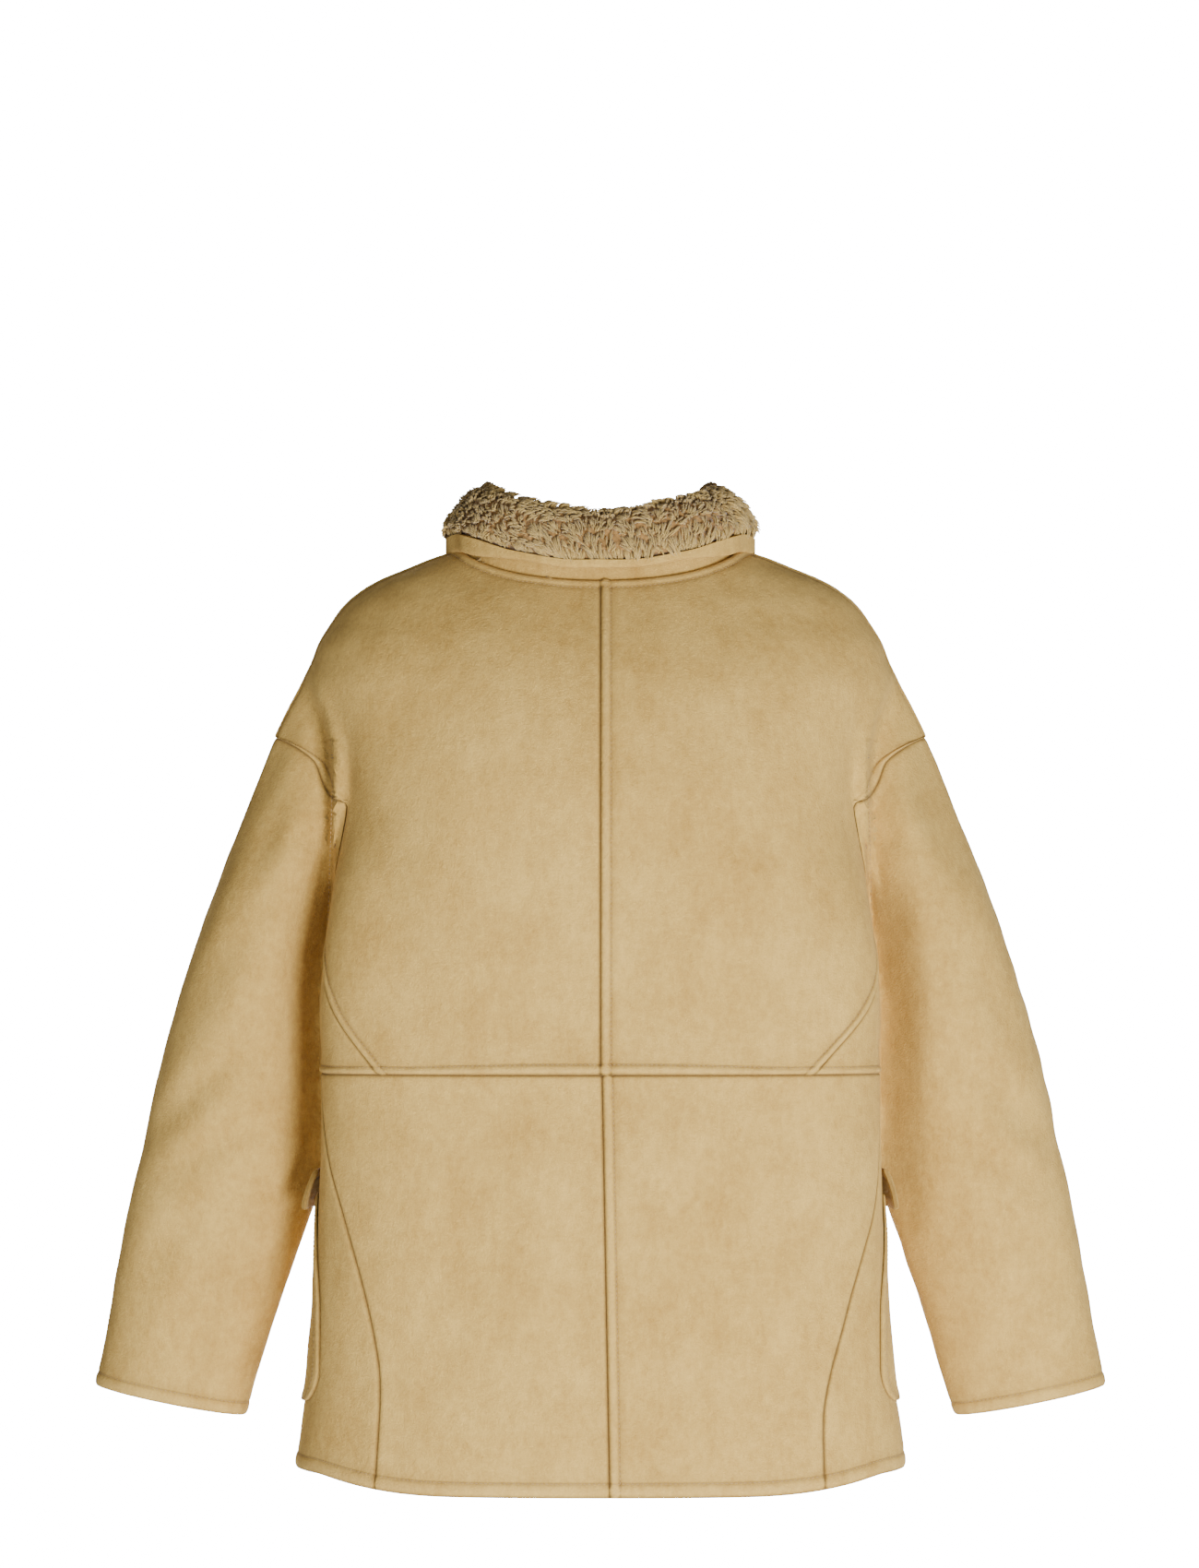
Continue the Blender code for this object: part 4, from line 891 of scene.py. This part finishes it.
def collar_base():
    """Closed sections of the collar, with the pile side drawn in to the undercoat."""
    surface, normal = pile_outline()
    from_start, from_end = runs(surface, 1)
    keep = ease(np.minimum(from_start, from_end) / 12)
    depth = (UNDERCOAT + 0.8 * ripple(surface, 9, 8)) * keep
    pile = surface - normal * depth[..., None]
    return np.concatenate([round_neck(suede_side, COLLAR_ROWS + 1)[:, :-1], pile], axis=1)


# ---- fur
LOCK_RINGS = (0.0, 0.35, 0.68, 0.9)            # shares of a lock's length
LOCK_THICKNESS = (1.0, 0.92, 0.66, 0.36)       # and its thickness there
LOCK_RADIUS = (0.7, 1.25)
TUFT_SHARE = 0.1           # tufts for each lock
TUFT_REACH, TUFT_RISE = (5.0, 9.5), (-1.8, 0.7)    # a tuft's point, along the pile and out of it
TIP_SPREAD, TIP_LOOSE, TIP_LENGTH = 0.5, 0.45, (-1.5, 2.0)     # of locks round their tuft's point
KNEE_SHARE, KNEE_RISE = 0.25, (-1.5, 1.2)      # where a lock bends
SWIRL, SWIRL_HALF = (-0.25, 1.1), 130.0        # the pile's turn from straight down, over this width
Fur = namedtuple("Fur", "points tip tone")


def between(grid, along, across):
    """Points of a grid, by the shares of the way along it and across it."""
    rows, count = grid.shape[:2]
    i, j = along * (rows - 1), across * (count - 1)
    low_i, low_j = np.minimum(i.astype(int), rows - 2), np.minimum(j.astype(int), count - 2)
    fi, fj = (i - low_i)[:, None], (j - low_j)[:, None]
    return mix(mix(grid[low_i, low_j], grid[low_i + 1, low_j], fi),
               mix(grid[low_i, low_j + 1], grid[low_i + 1, low_j + 1], fi), fj)


def fur(count, first, last, near_end, far_end, seed):
    """Locks on a stretch of the collar's pile side: shares round the section and along the neck."""
    random = np.random.default_rng(seed)
    surface, normal = pile_outline()

    def scattered(number):
        """Points on the stretch, and the directions out of the pile there."""
        along = random.uniform(near_end, far_end, number)
        section = random.uniform(first, last, number)
        return between(surface, along, section), unit(between(normal, along, section))

    tufts = max(12, int(count * TUFT_SHARE))
    root, out = scattered(count)
    heart, heart_out = scattered(tufts)
    nearest = np.concatenate([
        np.linalg.norm(part[:, None] - heart[None], axis=-1).argmin(1)
        for part in np.array_split(root, 12)])
    down = np.array([0, 0, -1.0])
    side = unit(np.cross(heart_out, down))
    swirl = (mix(*SWIRL, ease((heart[:, 0] + SWIRL_HALF) / (2 * SWIRL_HALF)))
             + 0.45 * ripple(heart, 55, 41) + 0.35 * ripple(heart, 16, 42))
    fall = unit(down - heart_out * (heart_out @ down)[:, None] + 1e-6)
    flow = unit(fall * np.cos(swirl)[:, None] + side * np.sin(swirl)[:, None])
    reach = random.uniform(*TUFT_REACH, tufts)[:, None]
    point = heart + heart_out * random.uniform(*TUFT_RISE, tufts)[:, None] + flow * reach
    tip = (point[nearest] + (root - heart[nearest]) * TIP_SPREAD
           + random.normal(size=(count, 3)) * TIP_LOOSE)
    tip = tip + flow[nearest] * random.uniform(*TIP_LENGTH, count)[:, None]
    foot = root - out * (UNDERCOAT + 0.8)
    knee = root + out * random.uniform(*KNEE_RISE, count)[:, None] + (tip - root) * KNEE_SHARE
    t = np.array(LOCK_RINGS + (1.0,))[:, None, None]
    line = foot * (1 - t) ** 2 + knee * 2 * t * (1 - t) + tip * t ** 2
    heading = unit(np.gradient(line, axis=0))
    across_lock = unit(np.cross(heading, out[None]))
    other = np.cross(heading, across_lock)
    radius = random.uniform(*LOCK_RADIUS, count)[:, None] * np.array(LOCK_THICKNESS)[:, None, None]
    turn = random.uniform(0, np.pi / 2, count)[:, None]
    corners = []
    for quarter in range(4):
        angle = turn + quarter * np.pi / 2
        corners.append(line[:-1] + radius * (across_lock[:-1] * np.cos(angle)
                                             + other[:-1] * np.sin(angle)))
    rings = np.stack(corners, 2).transpose(1, 0, 2, 3).reshape(count, -1, 3)
    points = np.concatenate([rings, line[-1][:, None]], axis=1)
    share = np.repeat(LOCK_RINGS, 4).tolist() + [1.0]
    return Fur(points, np.tile(share, (count, 1)),
               np.repeat(random.uniform(0, 1, (count, 1)), len(share), 1))


# ---- Blender objects
def mesh_data(name, mesh):
    """Finished mesh data from a mesh that was being built."""
    data = bpy.data.meshes.new(name)
    mesh.to_mesh(data)
    mesh.free()
    return data


def shown(name, data, materials):
    """An object in the scene, from its data."""
    for material in materials:
        data.materials.append(material)
    made = bpy.data.objects.new(name, data)
    bpy.context.scene.collection.objects.link(made)
    return made


def object_from(name, mesh, materials):
    """A smooth piece of the jacket, with sharp edges kept."""
    bmesh.ops.recalc_face_normals(mesh, faces=mesh.faces[:])
    data = mesh_data(name, mesh)
    data.shade_smooth()
    data.set_sharp_from_angle(angle=np.radians(60))
    made = shown(name, data, materials)
    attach(made, "root")
    return made


def grid_mesh(grid, shade=None):
    """A mesh of rows and columns at a grid of points, and the layer that numbers them."""
    mesh = bmesh.new()
    rows, count = grid.shape[:2]
    bmesh.ops.create_grid(mesh, x_segments=count - 1, y_segments=rows - 1, size=1)
    number = mesh.verts.layers.int.new("number")
    # point attribute with the painted shade and painted highlight along seams and stitching
    tint = mesh.verts.layers.float.new("shade")
    shades = np.zeros(rows * count) if shade is None else shade.reshape(-1)
    for place, (vert, point) in enumerate(zip(mesh.verts, grid.reshape(-1, 3) * MM)):
        vert[number] = place
        vert[tint] = shades[place]
        vert.co = point
    return mesh, number


def cloth(name, piece, materials, ring=False):
    """A wall of cloth between two grids of points; the inner face has the second material."""
    mesh, number = grid_mesh(piece.outer, piece.shade)
    if ring:
        bmesh.ops.remove_doubles(mesh, verts=mesh.verts[:], dist=1e-7)
    whole = mesh.verts[:] + mesh.edges[:] + mesh.faces[:]
    made = bmesh.ops.extrude_face_region(mesh, geom=whole, use_keep_orig=True)
    places = piece.inner.reshape(-1, 3) * MM
    for part in made["geom"]:
        if isinstance(part, bmesh.types.BMVert):
            part.co = places[part[number]]
        elif isinstance(part, bmesh.types.BMFace):
            part.material_index = len(materials) - 1
    return object_from(name, mesh, materials)


def swept(name, sections, materials, columns_of_first):
    """A solid through closed sections, capped at both ends."""
    grid = np.concatenate([sections, sections[:, :1]], axis=1)
    mesh, _ = grid_mesh(grid)
    for place, face in enumerate(mesh.faces):
        column_number = place % (grid.shape[1] - 1)
        face.material_index = int(column_number >= columns_of_first and len(materials) > 1)
    bmesh.ops.remove_doubles(mesh, verts=mesh.verts[:], dist=1e-7)
    rim = [edge for edge in mesh.edges if edge.is_boundary]
    filled = bmesh.ops.holes_fill(mesh, edges=rim)["faces"]
    for face in filled:
        face.material_index = len(materials) - 1
    bmesh.ops.triangulate(mesh, faces=filled, quad_method="FIXED", ngon_method="EAR_CLIP")
    return object_from(name, mesh, materials)


def repeated(small, count):
    """A mesh with many copies of a small one, in order."""
    whole, block = bmesh.new(), small
    while count:
        if count & 1:
            whole.from_mesh(block)
        count >>= 1
        if count:
            twice = bmesh.new()
            twice.from_mesh(block)
            twice.from_mesh(block)
            block = mesh_data("block", twice)
    return whole


def placed(name, small, points, material, **values):
    """Copies of a small mesh with their corners put at given points, as one object."""
    data = mesh_data(name, repeated(small, len(points)))
    data.vertices.foreach_set("co", (points.reshape(-1) * MM).astype(np.float32))
    for word, value in values.items():
        layer = data.attributes.new(word, "FLOAT", "POINT")
        layer.data.foreach_set("value", value.reshape(-1).astype(np.float32))
    data.shade_smooth()
    data.update()
    made = shown(name, data, [material])
    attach(made, "root")
    return made


def thread_mesh():
    mesh = bmesh.new()
    bmesh.ops.create_uvsphere(mesh, u_segments=6, v_segments=3, radius=1)
    return mesh_data("thread", mesh)


def lock_mesh():
    """Four-sided lock: rings of four corners from the root, then the tip."""
    mesh = bmesh.new()
    circle = bmesh.ops.create_circle(mesh, segments=4, radius=1, cap_ends=False)["verts"]
    loop = list({edge for vert in circle for edge in vert.link_edges})
    number = mesh.verts.layers.int.new("number")
    for place, vert in enumerate(mesh.verts):
        vert[number] = place
    for ring_number in range(1, len(LOCK_RINGS)):
        made = bmesh.ops.extrude_edge_only(mesh, edges=loop)["geom"]
        loop = [part for part in made if isinstance(part, bmesh.types.BMEdge)
                and not part.link_faces[0].edges[0] == part and len(part.link_faces) == 1]
        for part in made:
            if isinstance(part, bmesh.types.BMVert):
                part.co.z = ring_number
                part[number] += 4
    top = mesh.verts.new((0, 0, len(LOCK_RINGS)))
    top[number] = 4 * len(LOCK_RINGS)
    for edge in loop:
        mesh.faces.new((edge.verts[0], edge.verts[1], top))
    mesh.verts.sort(key=lambda vert: vert[number])
    bmesh.ops.recalc_face_normals(mesh, faces=mesh.faces[:])
    return mesh_data("lock", mesh)


STITCH_LENGTH, STITCH_PITCH, THREAD_RADIUS = 2.7, 3.6, 0.36
STITCH_MARGIN = 3          # a line of stitches stops this far from its ends
UPWARD = (0.13, 0.29, 0.95)    # never along a line of stitches


def stitches(name, lines, small, material):
    """Short lengths of thread along lines of points."""
    centres, headings = [], []
    for line in lines:
        if len(line) < 3:
            continue
        run = along_line(line)
        count = int((run[-1] - 2 * STITCH_MARGIN) // STITCH_PITCH)
        at = STITCH_MARGIN + STITCH_PITCH * (np.arange(count) + 0.5)
        ends = [points_at(at + step, run, line) for step in (-1, 1)]
        centres.append((ends[0] + ends[1]) / 2)
        headings.append(unit(ends[1] - ends[0]))
    centres, headings = np.concatenate(centres), np.concatenate(headings)
    unit_points = np.array([vert.co for vert in small.vertices])
    level = unit(np.cross(headings, UPWARD))
    third = np.cross(headings, level)
    points = (centres[:, None] + headings[:, None] * unit_points[None, :, 2:] * STITCH_LENGTH / 2
              + level[:, None] * unit_points[None, :, :1] * THREAD_RADIUS
              + third[:, None] * unit_points[None, :, 1:2] * THREAD_RADIUS)
    return placed(name, small, points, material)


BUTTON_PROFILE = table("radius height",
    (0, 0), (12.2, 0), (12.8, 0.4), (13.0, 1.2), (12.9, 2.6), (12.4, 3.6), (11.4, 4.0), (10.2, 3.9),
    (9.2, 3.2), (8.0, 2.9), (4.0, 2.75), (0, 2.7))
BUTTON_DISH = 2.9          # height of its dished middle, where the thread lies
THREAD_BARS = ((-2.1, -0.45), (-2.1, 0.45), (2.1, -0.45), (2.1, 0.45))


def button_seat(z):
    """y of a button's back, just off the front."""
    level = np.linspace(z - BUTTON_RADIUS, z + BUTTON_RADIUS, 9)
    return body_point(np.full(9, 180.0), level)[:, 1].min() - BUTTON_SEAT


def button(name, z, material):
    """A turned button with a dished middle, on the right front's middle line."""
    mesh = bmesh.new()
    verts = [mesh.verts.new((row.radius * MM, 0, row.height * MM)) for row in BUTTON_PROFILE]
    edges = [mesh.edges.new(pair) for pair in zip(verts, verts[1:])]
    bmesh.ops.spin(mesh, geom=verts + edges, cent=(0, 0, 0), axis=(0, 0, 1), dvec=(0, 0, 0),
                   angle=2 * np.pi, steps=48, use_duplicate=False)
    bmesh.ops.remove_doubles(mesh, verts=mesh.verts[:], dist=1e-6)
    seat = button_seat(z)
    for vert in mesh.verts:
        x, y, height = vert.co
        vert.co = (x, seat * MM - height, z * MM + y)
    return object_from(name, mesh, [material])


def button_thread(name, z, small, material):
    """Four bars of thread over the middle of a button."""
    front_y = button_seat(z) - BUTTON_DISH
    unit_points = np.array([vert.co for vert in small.vertices])
    bars = []
    for pair, shift in THREAD_BARS:
        scale = unit_points * np.array([0.45, 0.45, 3.0])
        bars.append(np.stack([pair + shift + scale[:, 0], front_y - 0.2 - scale[:, 1],
                              z + scale[:, 2]], -1))
    return placed(name, small, np.array(bars), material)


# ---- finishes
class Socket:
    """A shader value that ordinary sums can be written with."""

    def __init__(self, paint, plug):
        self.paint, self.plug = paint, plug

    def maths(self, operation, *values):
        return self.paint.node("ShaderNodeMath", {"operation": operation},
                               dict(enumerate(values)))

    def __add__(self, other):
        return self.maths("ADD", self, other)

    def __mul__(self, other):
        return self.maths("MULTIPLY", self, other)

    def __sub__(self, other):
        return self.maths("SUBTRACT", self, other)

    def __rsub__(self, other):
        return self.maths("SUBTRACT", other, self)

    __radd__, __rmul__ = __add__, __mul__

    def limited(self, low=0.0, high=1.0):
        return self.maths("MINIMUM", self.maths("MAXIMUM", self, low), high)


class Paint:
    """A material, and the one way in which its nodes are made."""

    def __init__(self, name):
        self.material = bpy.data.materials.new(name)
        self.material.use_nodes = True
        self.tree = self.material.node_tree
        self.surface = self.tree.nodes["Principled BSDF"]

    def node(self, kind, settings, values, output=0):
        made = self.tree.nodes.new(kind)
        for word, setting in settings.items():
            setattr(made, word, setting)
        for socket, value in values.items():
            self.put(made.inputs[socket], value)
        return Socket(self, made.outputs[output])

    def put(self, socket, value):
        if isinstance(value, Socket):
            self.tree.links.new(value.plug, socket)
        else:
            socket.default_value = value

    def finish(self, **values):
        for word, value in values.items():
            self.put(self.surface.inputs[word.replace("_", " ")], value)
        return self.material

    def place(self, stretch=(1, 1, 1)):
        """The point of the piece that is being coloured, stretched."""
        where = self.node("ShaderNodeTexCoord", {}, {}, 3)
        return self.node("ShaderNodeVectorMath", {"operation": "MULTIPLY"}, {0: where, 1: stretch})

    def noise(self, size, detail=2.0, roughness=0.5, stretch=(1, 1, 1)):
        """Soft noise from 0 to 1 with features of one size, in metres."""
        return self.node("ShaderNodeTexNoise", {}, {
            "Vector": self.place(stretch), "Scale": 1 / size, "Detail": detail,
            "Roughness": roughness})

    def value_of(self, word):
        return self.node("ShaderNodeAttribute", {"attribute_name": word}, {}, 2)

    def blend(self, share, first, second):
        return self.node("ShaderNodeMix", {"data_type": "RGBA"}, {0: share, 6: first, 7: second}, 2)

    def bump(self, height, distance, strength=1.0):
        return self.node("ShaderNodeBump", {}, {
            "Height": height, "Distance": distance, "Strength": strength})


def colour(red, green, blue):
    """Linear colour from the usual 0 to 255 values."""
    share = np.array([red, green, blue]) / 255
    linear = np.where(share <= 0.04045, share / 12.92, ((share + 0.055) / 1.055) ** 2.4)
    return (*linear.tolist(), 1)


def suede():
    """Brushed suede: patches where the nap lies differently, fine speckle, painted shade in seams,
    painted highlight on crests.
    """
    paint = Paint("suede")
    broad = paint.noise(0.11, 3, 0.55)
    streaks = paint.noise(0.026, 4, 0.62, (1, 1, 0.55))
    small = paint.noise(0.0065, 3, 0.6)
    grain = paint.noise(0.0014, 2, 0.6)
    strokes = paint.noise(0.0042, 3, 0.65, (1, 1, 0.35))
    tone = (0.5 + 0.8 * (broad - 0.5) + 1.0 * (streaks - 0.5) + 0.7 * (small - 0.5)
            + 0.6 * (strokes - 0.5) + 0.7 * (grain - 0.5)).limited()
    cloth_colour = paint.blend(tone, colour(174, 136, 66), colour(216, 180, 100))
    shade = paint.value_of("shade")
    # painted highlight paler on the seam crests, then painted shade darker in the seams and stitch
    # grooves
    with_painted_highlight = paint.blend(shade.limited() * 0.45, cloth_colour, colour(226, 192, 116))
    dark = paint.blend((0 - shade).limited() * 0.88, with_painted_highlight, colour(96, 68, 28))
    rough = (0.9 + 0.08 * (streaks - 0.5)).limited()
    height = 0.55 * paint.noise(0.0024, 3, 0.65) + 0.45 * grain
    return paint.finish(Sheen_Weight=0.22, Sheen_Roughness=0.6, Sheen_Tint=colour(232, 208, 150),
                        Specular_IOR_Level=0.2, Base_Color=dark, Roughness=rough,
                        Normal=paint.bump(height, 0.0014, 0.9))


def pile():
    """The short curly pile of the inside, and the fur's undercoat."""
    paint = Paint("pile")
    curls = paint.node("ShaderNodeTexVoronoi", {"feature": "F1"}, {
        "Vector": paint.place(), "Scale": 210.0, "Randomness": 1.0})
    broad = paint.noise(0.05, 3)
    tone = (0.7 * curls + 0.5 * (broad - 0.5)).limited()
    body = paint.blend(tone, colour(176, 138, 84), colour(112, 80, 40))
    return paint.finish(Sheen_Weight=0.2, Specular_IOR_Level=0.15, Base_Color=body, Roughness=0.96,
                        Normal=paint.bump(1 - curls, 0.003, 0.9))


def fur_paint():
    """Locks that are dark at the root and pale at the tip."""
    paint = Paint("fur")
    tip, tone = paint.value_of("tip"), paint.value_of("tone")
    fibres = paint.noise(0.0011, 2, 0.6)
    low = paint.blend((tip * 2.4).limited(), colour(134, 104, 56), colour(184, 154, 88))
    high = paint.blend((tip * 2.2 - 1.15).limited(), low, colour(192, 164, 100))
    light = (0.55 * tone + 0.5 * (fibres - 0.5)).limited()
    body = paint.blend(light * 0.4, high, colour(196, 170, 106))
    return paint.finish(Sheen_Weight=0.3, Specular_IOR_Level=0.15, Base_Color=body, Roughness=0.95,
                        Normal=paint.bump(fibres, 0.0007, 0.8))


def thread_paint():
    paint = Paint("thread")
    twist = paint.noise(0.0007, 2)
    body = paint.blend(twist, colour(150, 116, 68), colour(196, 164, 112))
    return paint.finish(Base_Color=body, Roughness=0.8, Normal=paint.bump(twist, 0.0003, 0.6))


def horn_paint():
    paint = Paint("horn")
    streaks = paint.noise(0.008, 4, 0.6, (1, 1, 0.3))
    body = paint.blend(streaks, colour(40, 20, 8), colour(88, 50, 20))
    rough = 0.58 + 0.2 * paint.noise(0.003, 3)
    return paint.finish(Base_Color=body, Roughness=rough,
                        Normal=paint.bump(paint.noise(0.0009, 2), 0.00015, 0.5))


# ---- the jacket
SUEDE, PILE, FUR, THREAD, HORN = suede(), pile(), fur_paint(), thread_paint(), horn_paint()
small_thread, small_lock = thread_mesh(), lock_mesh()


def sewn(name, piece, held, rests_on, ring=False, materials=None, on_it=()):
    """A piece of cloth with its topstitching, in place of the plain solid of the same name."""
    made = cloth("cloth_" + name, piece, materials or [SUEDE, PILE], ring)
    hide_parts(name)
    on_it = list(on_it)
    if piece.paths:
        thread = stitches("stitches_" + name, piece.paths, small_thread, THREAD)
        on_it.append(thread)


buttons = []
for count, z in enumerate(BUTTON_Z, 1):
    made = button("turned_button_%d" % count, z, HORN)
    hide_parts("button_%d" % count)
    thread = button_thread("button_thread_%d" % count, z, small_thread, THREAD)
    buttons.append([made, thread])

for side, word in ((LEFT, "left"), (RIGHT, "right")):
    upper_buttons = sum(buttons[:UPPER_BUTTONS], []) if side == RIGHT else []
    lower_buttons = sum(buttons[UPPER_BUTTONS:], []) if side == RIGHT else []
    upper_back, upper_front = ["cloth_upper_back_" + word], ["cloth_upper_front_" + word]
    lower_front = ["cloth_lower_front_" + word]
    sewn("upper_back_" + word, upper(side, True), "hung", [])
    sewn("upper_front_" + word, upper(side, False), "hung", [], on_it=upper_buttons)
    sewn("lower_back_" + word, lower(side, True), "hung", upper_back)
    sewn("lower_front_" + word, lower(side, False), "hung", upper_front, on_it=lower_buttons)
    sewn("sleeve_" + word, sleeve(side), "hung", upper_back, ring=True)
    sewn("pocket_" + word, pocket(side), "hung", lower_front, materials=[SUEDE])
    sewn("pocket_flap_" + word, pocket_flap(side), "hung", lower_front, materials=[SUEDE])


def folded(sections):
    """Works out the flat cut of a folded strip, half the way round its closed section, and keeps none
    of it.
    """
    width, length, area = cut_of(np.concatenate([sections, sections[:, :1]], axis=1))
    width / 2
    area / 2


collar_sections = collar_base()
collar = swept("collar_cloth", collar_sections, [SUEDE, PILE], SUEDE_COLUMNS)
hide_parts("collar")
for name, count, first, last, near_end, far_end, seed in (
        ("fur_fall_right", 5600, 0.03, 0.66, 0.0, 0.5, 1),
        ("fur_fall_left", 5600, 0.03, 0.66, 0.5, 1.0, 2),
        ("fur_neck_side", 4200, 0.64, 0.98, 0.0, 1.0, 3)):
    locks = fur(count, first, last, near_end, far_end, seed)
    made = placed(name, small_lock, locks.points, FUR, tip=locks.tip, tone=locks.tone)
folded(collar_sections)
edge_sections = round_neck(edge_side, COLLAR_ROWS + 1)
edge = swept("collar_edge_cloth", edge_sections, [SUEDE], 0)
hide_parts("collar_edge")
folded(edge_sections)


# ---- floor, light and camera
FLOOR_Z, FLOOR_HALF = -1.62, 30.0
BACKDROP_Y, BACKDROP_HALF, BACKDROP_HEIGHT = -5.0, 1.7, 3.8
BACKDROP_GLOW, WORLD_GLOW = 18.0, 0.2
LIT = (0, 0, -0.4)         # the point of the jacket that the lights face
WHITE = (1, 1, 1, 1)


def stage_plane(name, corners, material):
    mesh = bmesh.new()
    bmesh.ops.create_grid(mesh, x_segments=1, y_segments=1, size=1)
    for vert, corner in zip(mesh.verts, corners):
        vert.co = corner
    shown(name, mesh_data(name, mesh), [material])


def area_light(name, place, size, power):
    lamp = bpy.data.lights.new(name, "AREA")
    lamp.size, lamp.energy = size, power
    made = bpy.data.objects.new(name, lamp)
    made.location = place
    made.rotation_euler = (Vector(LIT) - Vector(place)).to_track_quat("-Z", "Y").to_euler()
    bpy.context.scene.collection.objects.link(made)


stage_plane("floor", [(x * FLOOR_HALF, y * FLOOR_HALF, FLOOR_Z) for y in (-1, 1) for x in (-1, 1)],
            Paint("floor").finish(Base_Color=colour(236, 235, 232), Roughness=0.9))
stage_plane("backdrop", [(x * BACKDROP_HALF, BACKDROP_Y, FLOOR_Z + z * BACKDROP_HEIGHT)
                         for z in (0, 1) for x in (-1, 1)],
            Paint("backdrop").finish(Base_Color=colour(250, 250, 250), Roughness=0.9,
                                     Emission_Color=WHITE, Emission_Strength=BACKDROP_GLOW))
area_light("key", (-0.85, 2.5, -1.05), 0.7, 110.0)
area_light("fill", (1.2, 3.4, -0.2), 2.0, 22.0)
area_light("front_fill", (0.0, -3.2, 0.6), 2.2, 40.0)

world = bpy.data.worlds.new("studio")
world.use_nodes = True
glow = world.node_tree.nodes["Background"].inputs
glow["Color"].default_value, glow["Strength"].default_value = WHITE, WORLD_GLOW
bpy.context.scene.world = world

CAMERA_DISTANCE, CAMERA_Z = 3125, -351             # millimetres
PHOTO_WIDTH, PHOTO_HEIGHT = 1300, 1700             # pixels
FOCAL = CAMERA_DISTANCE / 0.739                    # pixels; 0.739 mm a pixel in the origin's plane
AIM_COLUMN, AIM_ROW = 651, 1075                    # where the camera's axis meets the photo
camera = bpy.data.cameras.new("camera")
camera.sensor_fit, camera.sensor_height = "VERTICAL", 36.0
camera.lens = camera.sensor_height * FOCAL / PHOTO_HEIGHT
camera.shift_x = (PHOTO_WIDTH / 2 - AIM_COLUMN) / PHOTO_HEIGHT
camera.shift_y = (AIM_ROW - PHOTO_HEIGHT / 2) / PHOTO_HEIGHT
eye = bpy.data.objects.new("camera", camera)
eye.location = (0, CAMERA_DISTANCE * MM, CAMERA_Z * MM)
eye.rotation_euler = (np.pi / 2, 0, np.pi)
bpy.context.scene.collection.objects.link(eye)
bpy.context.scene.camera = eye
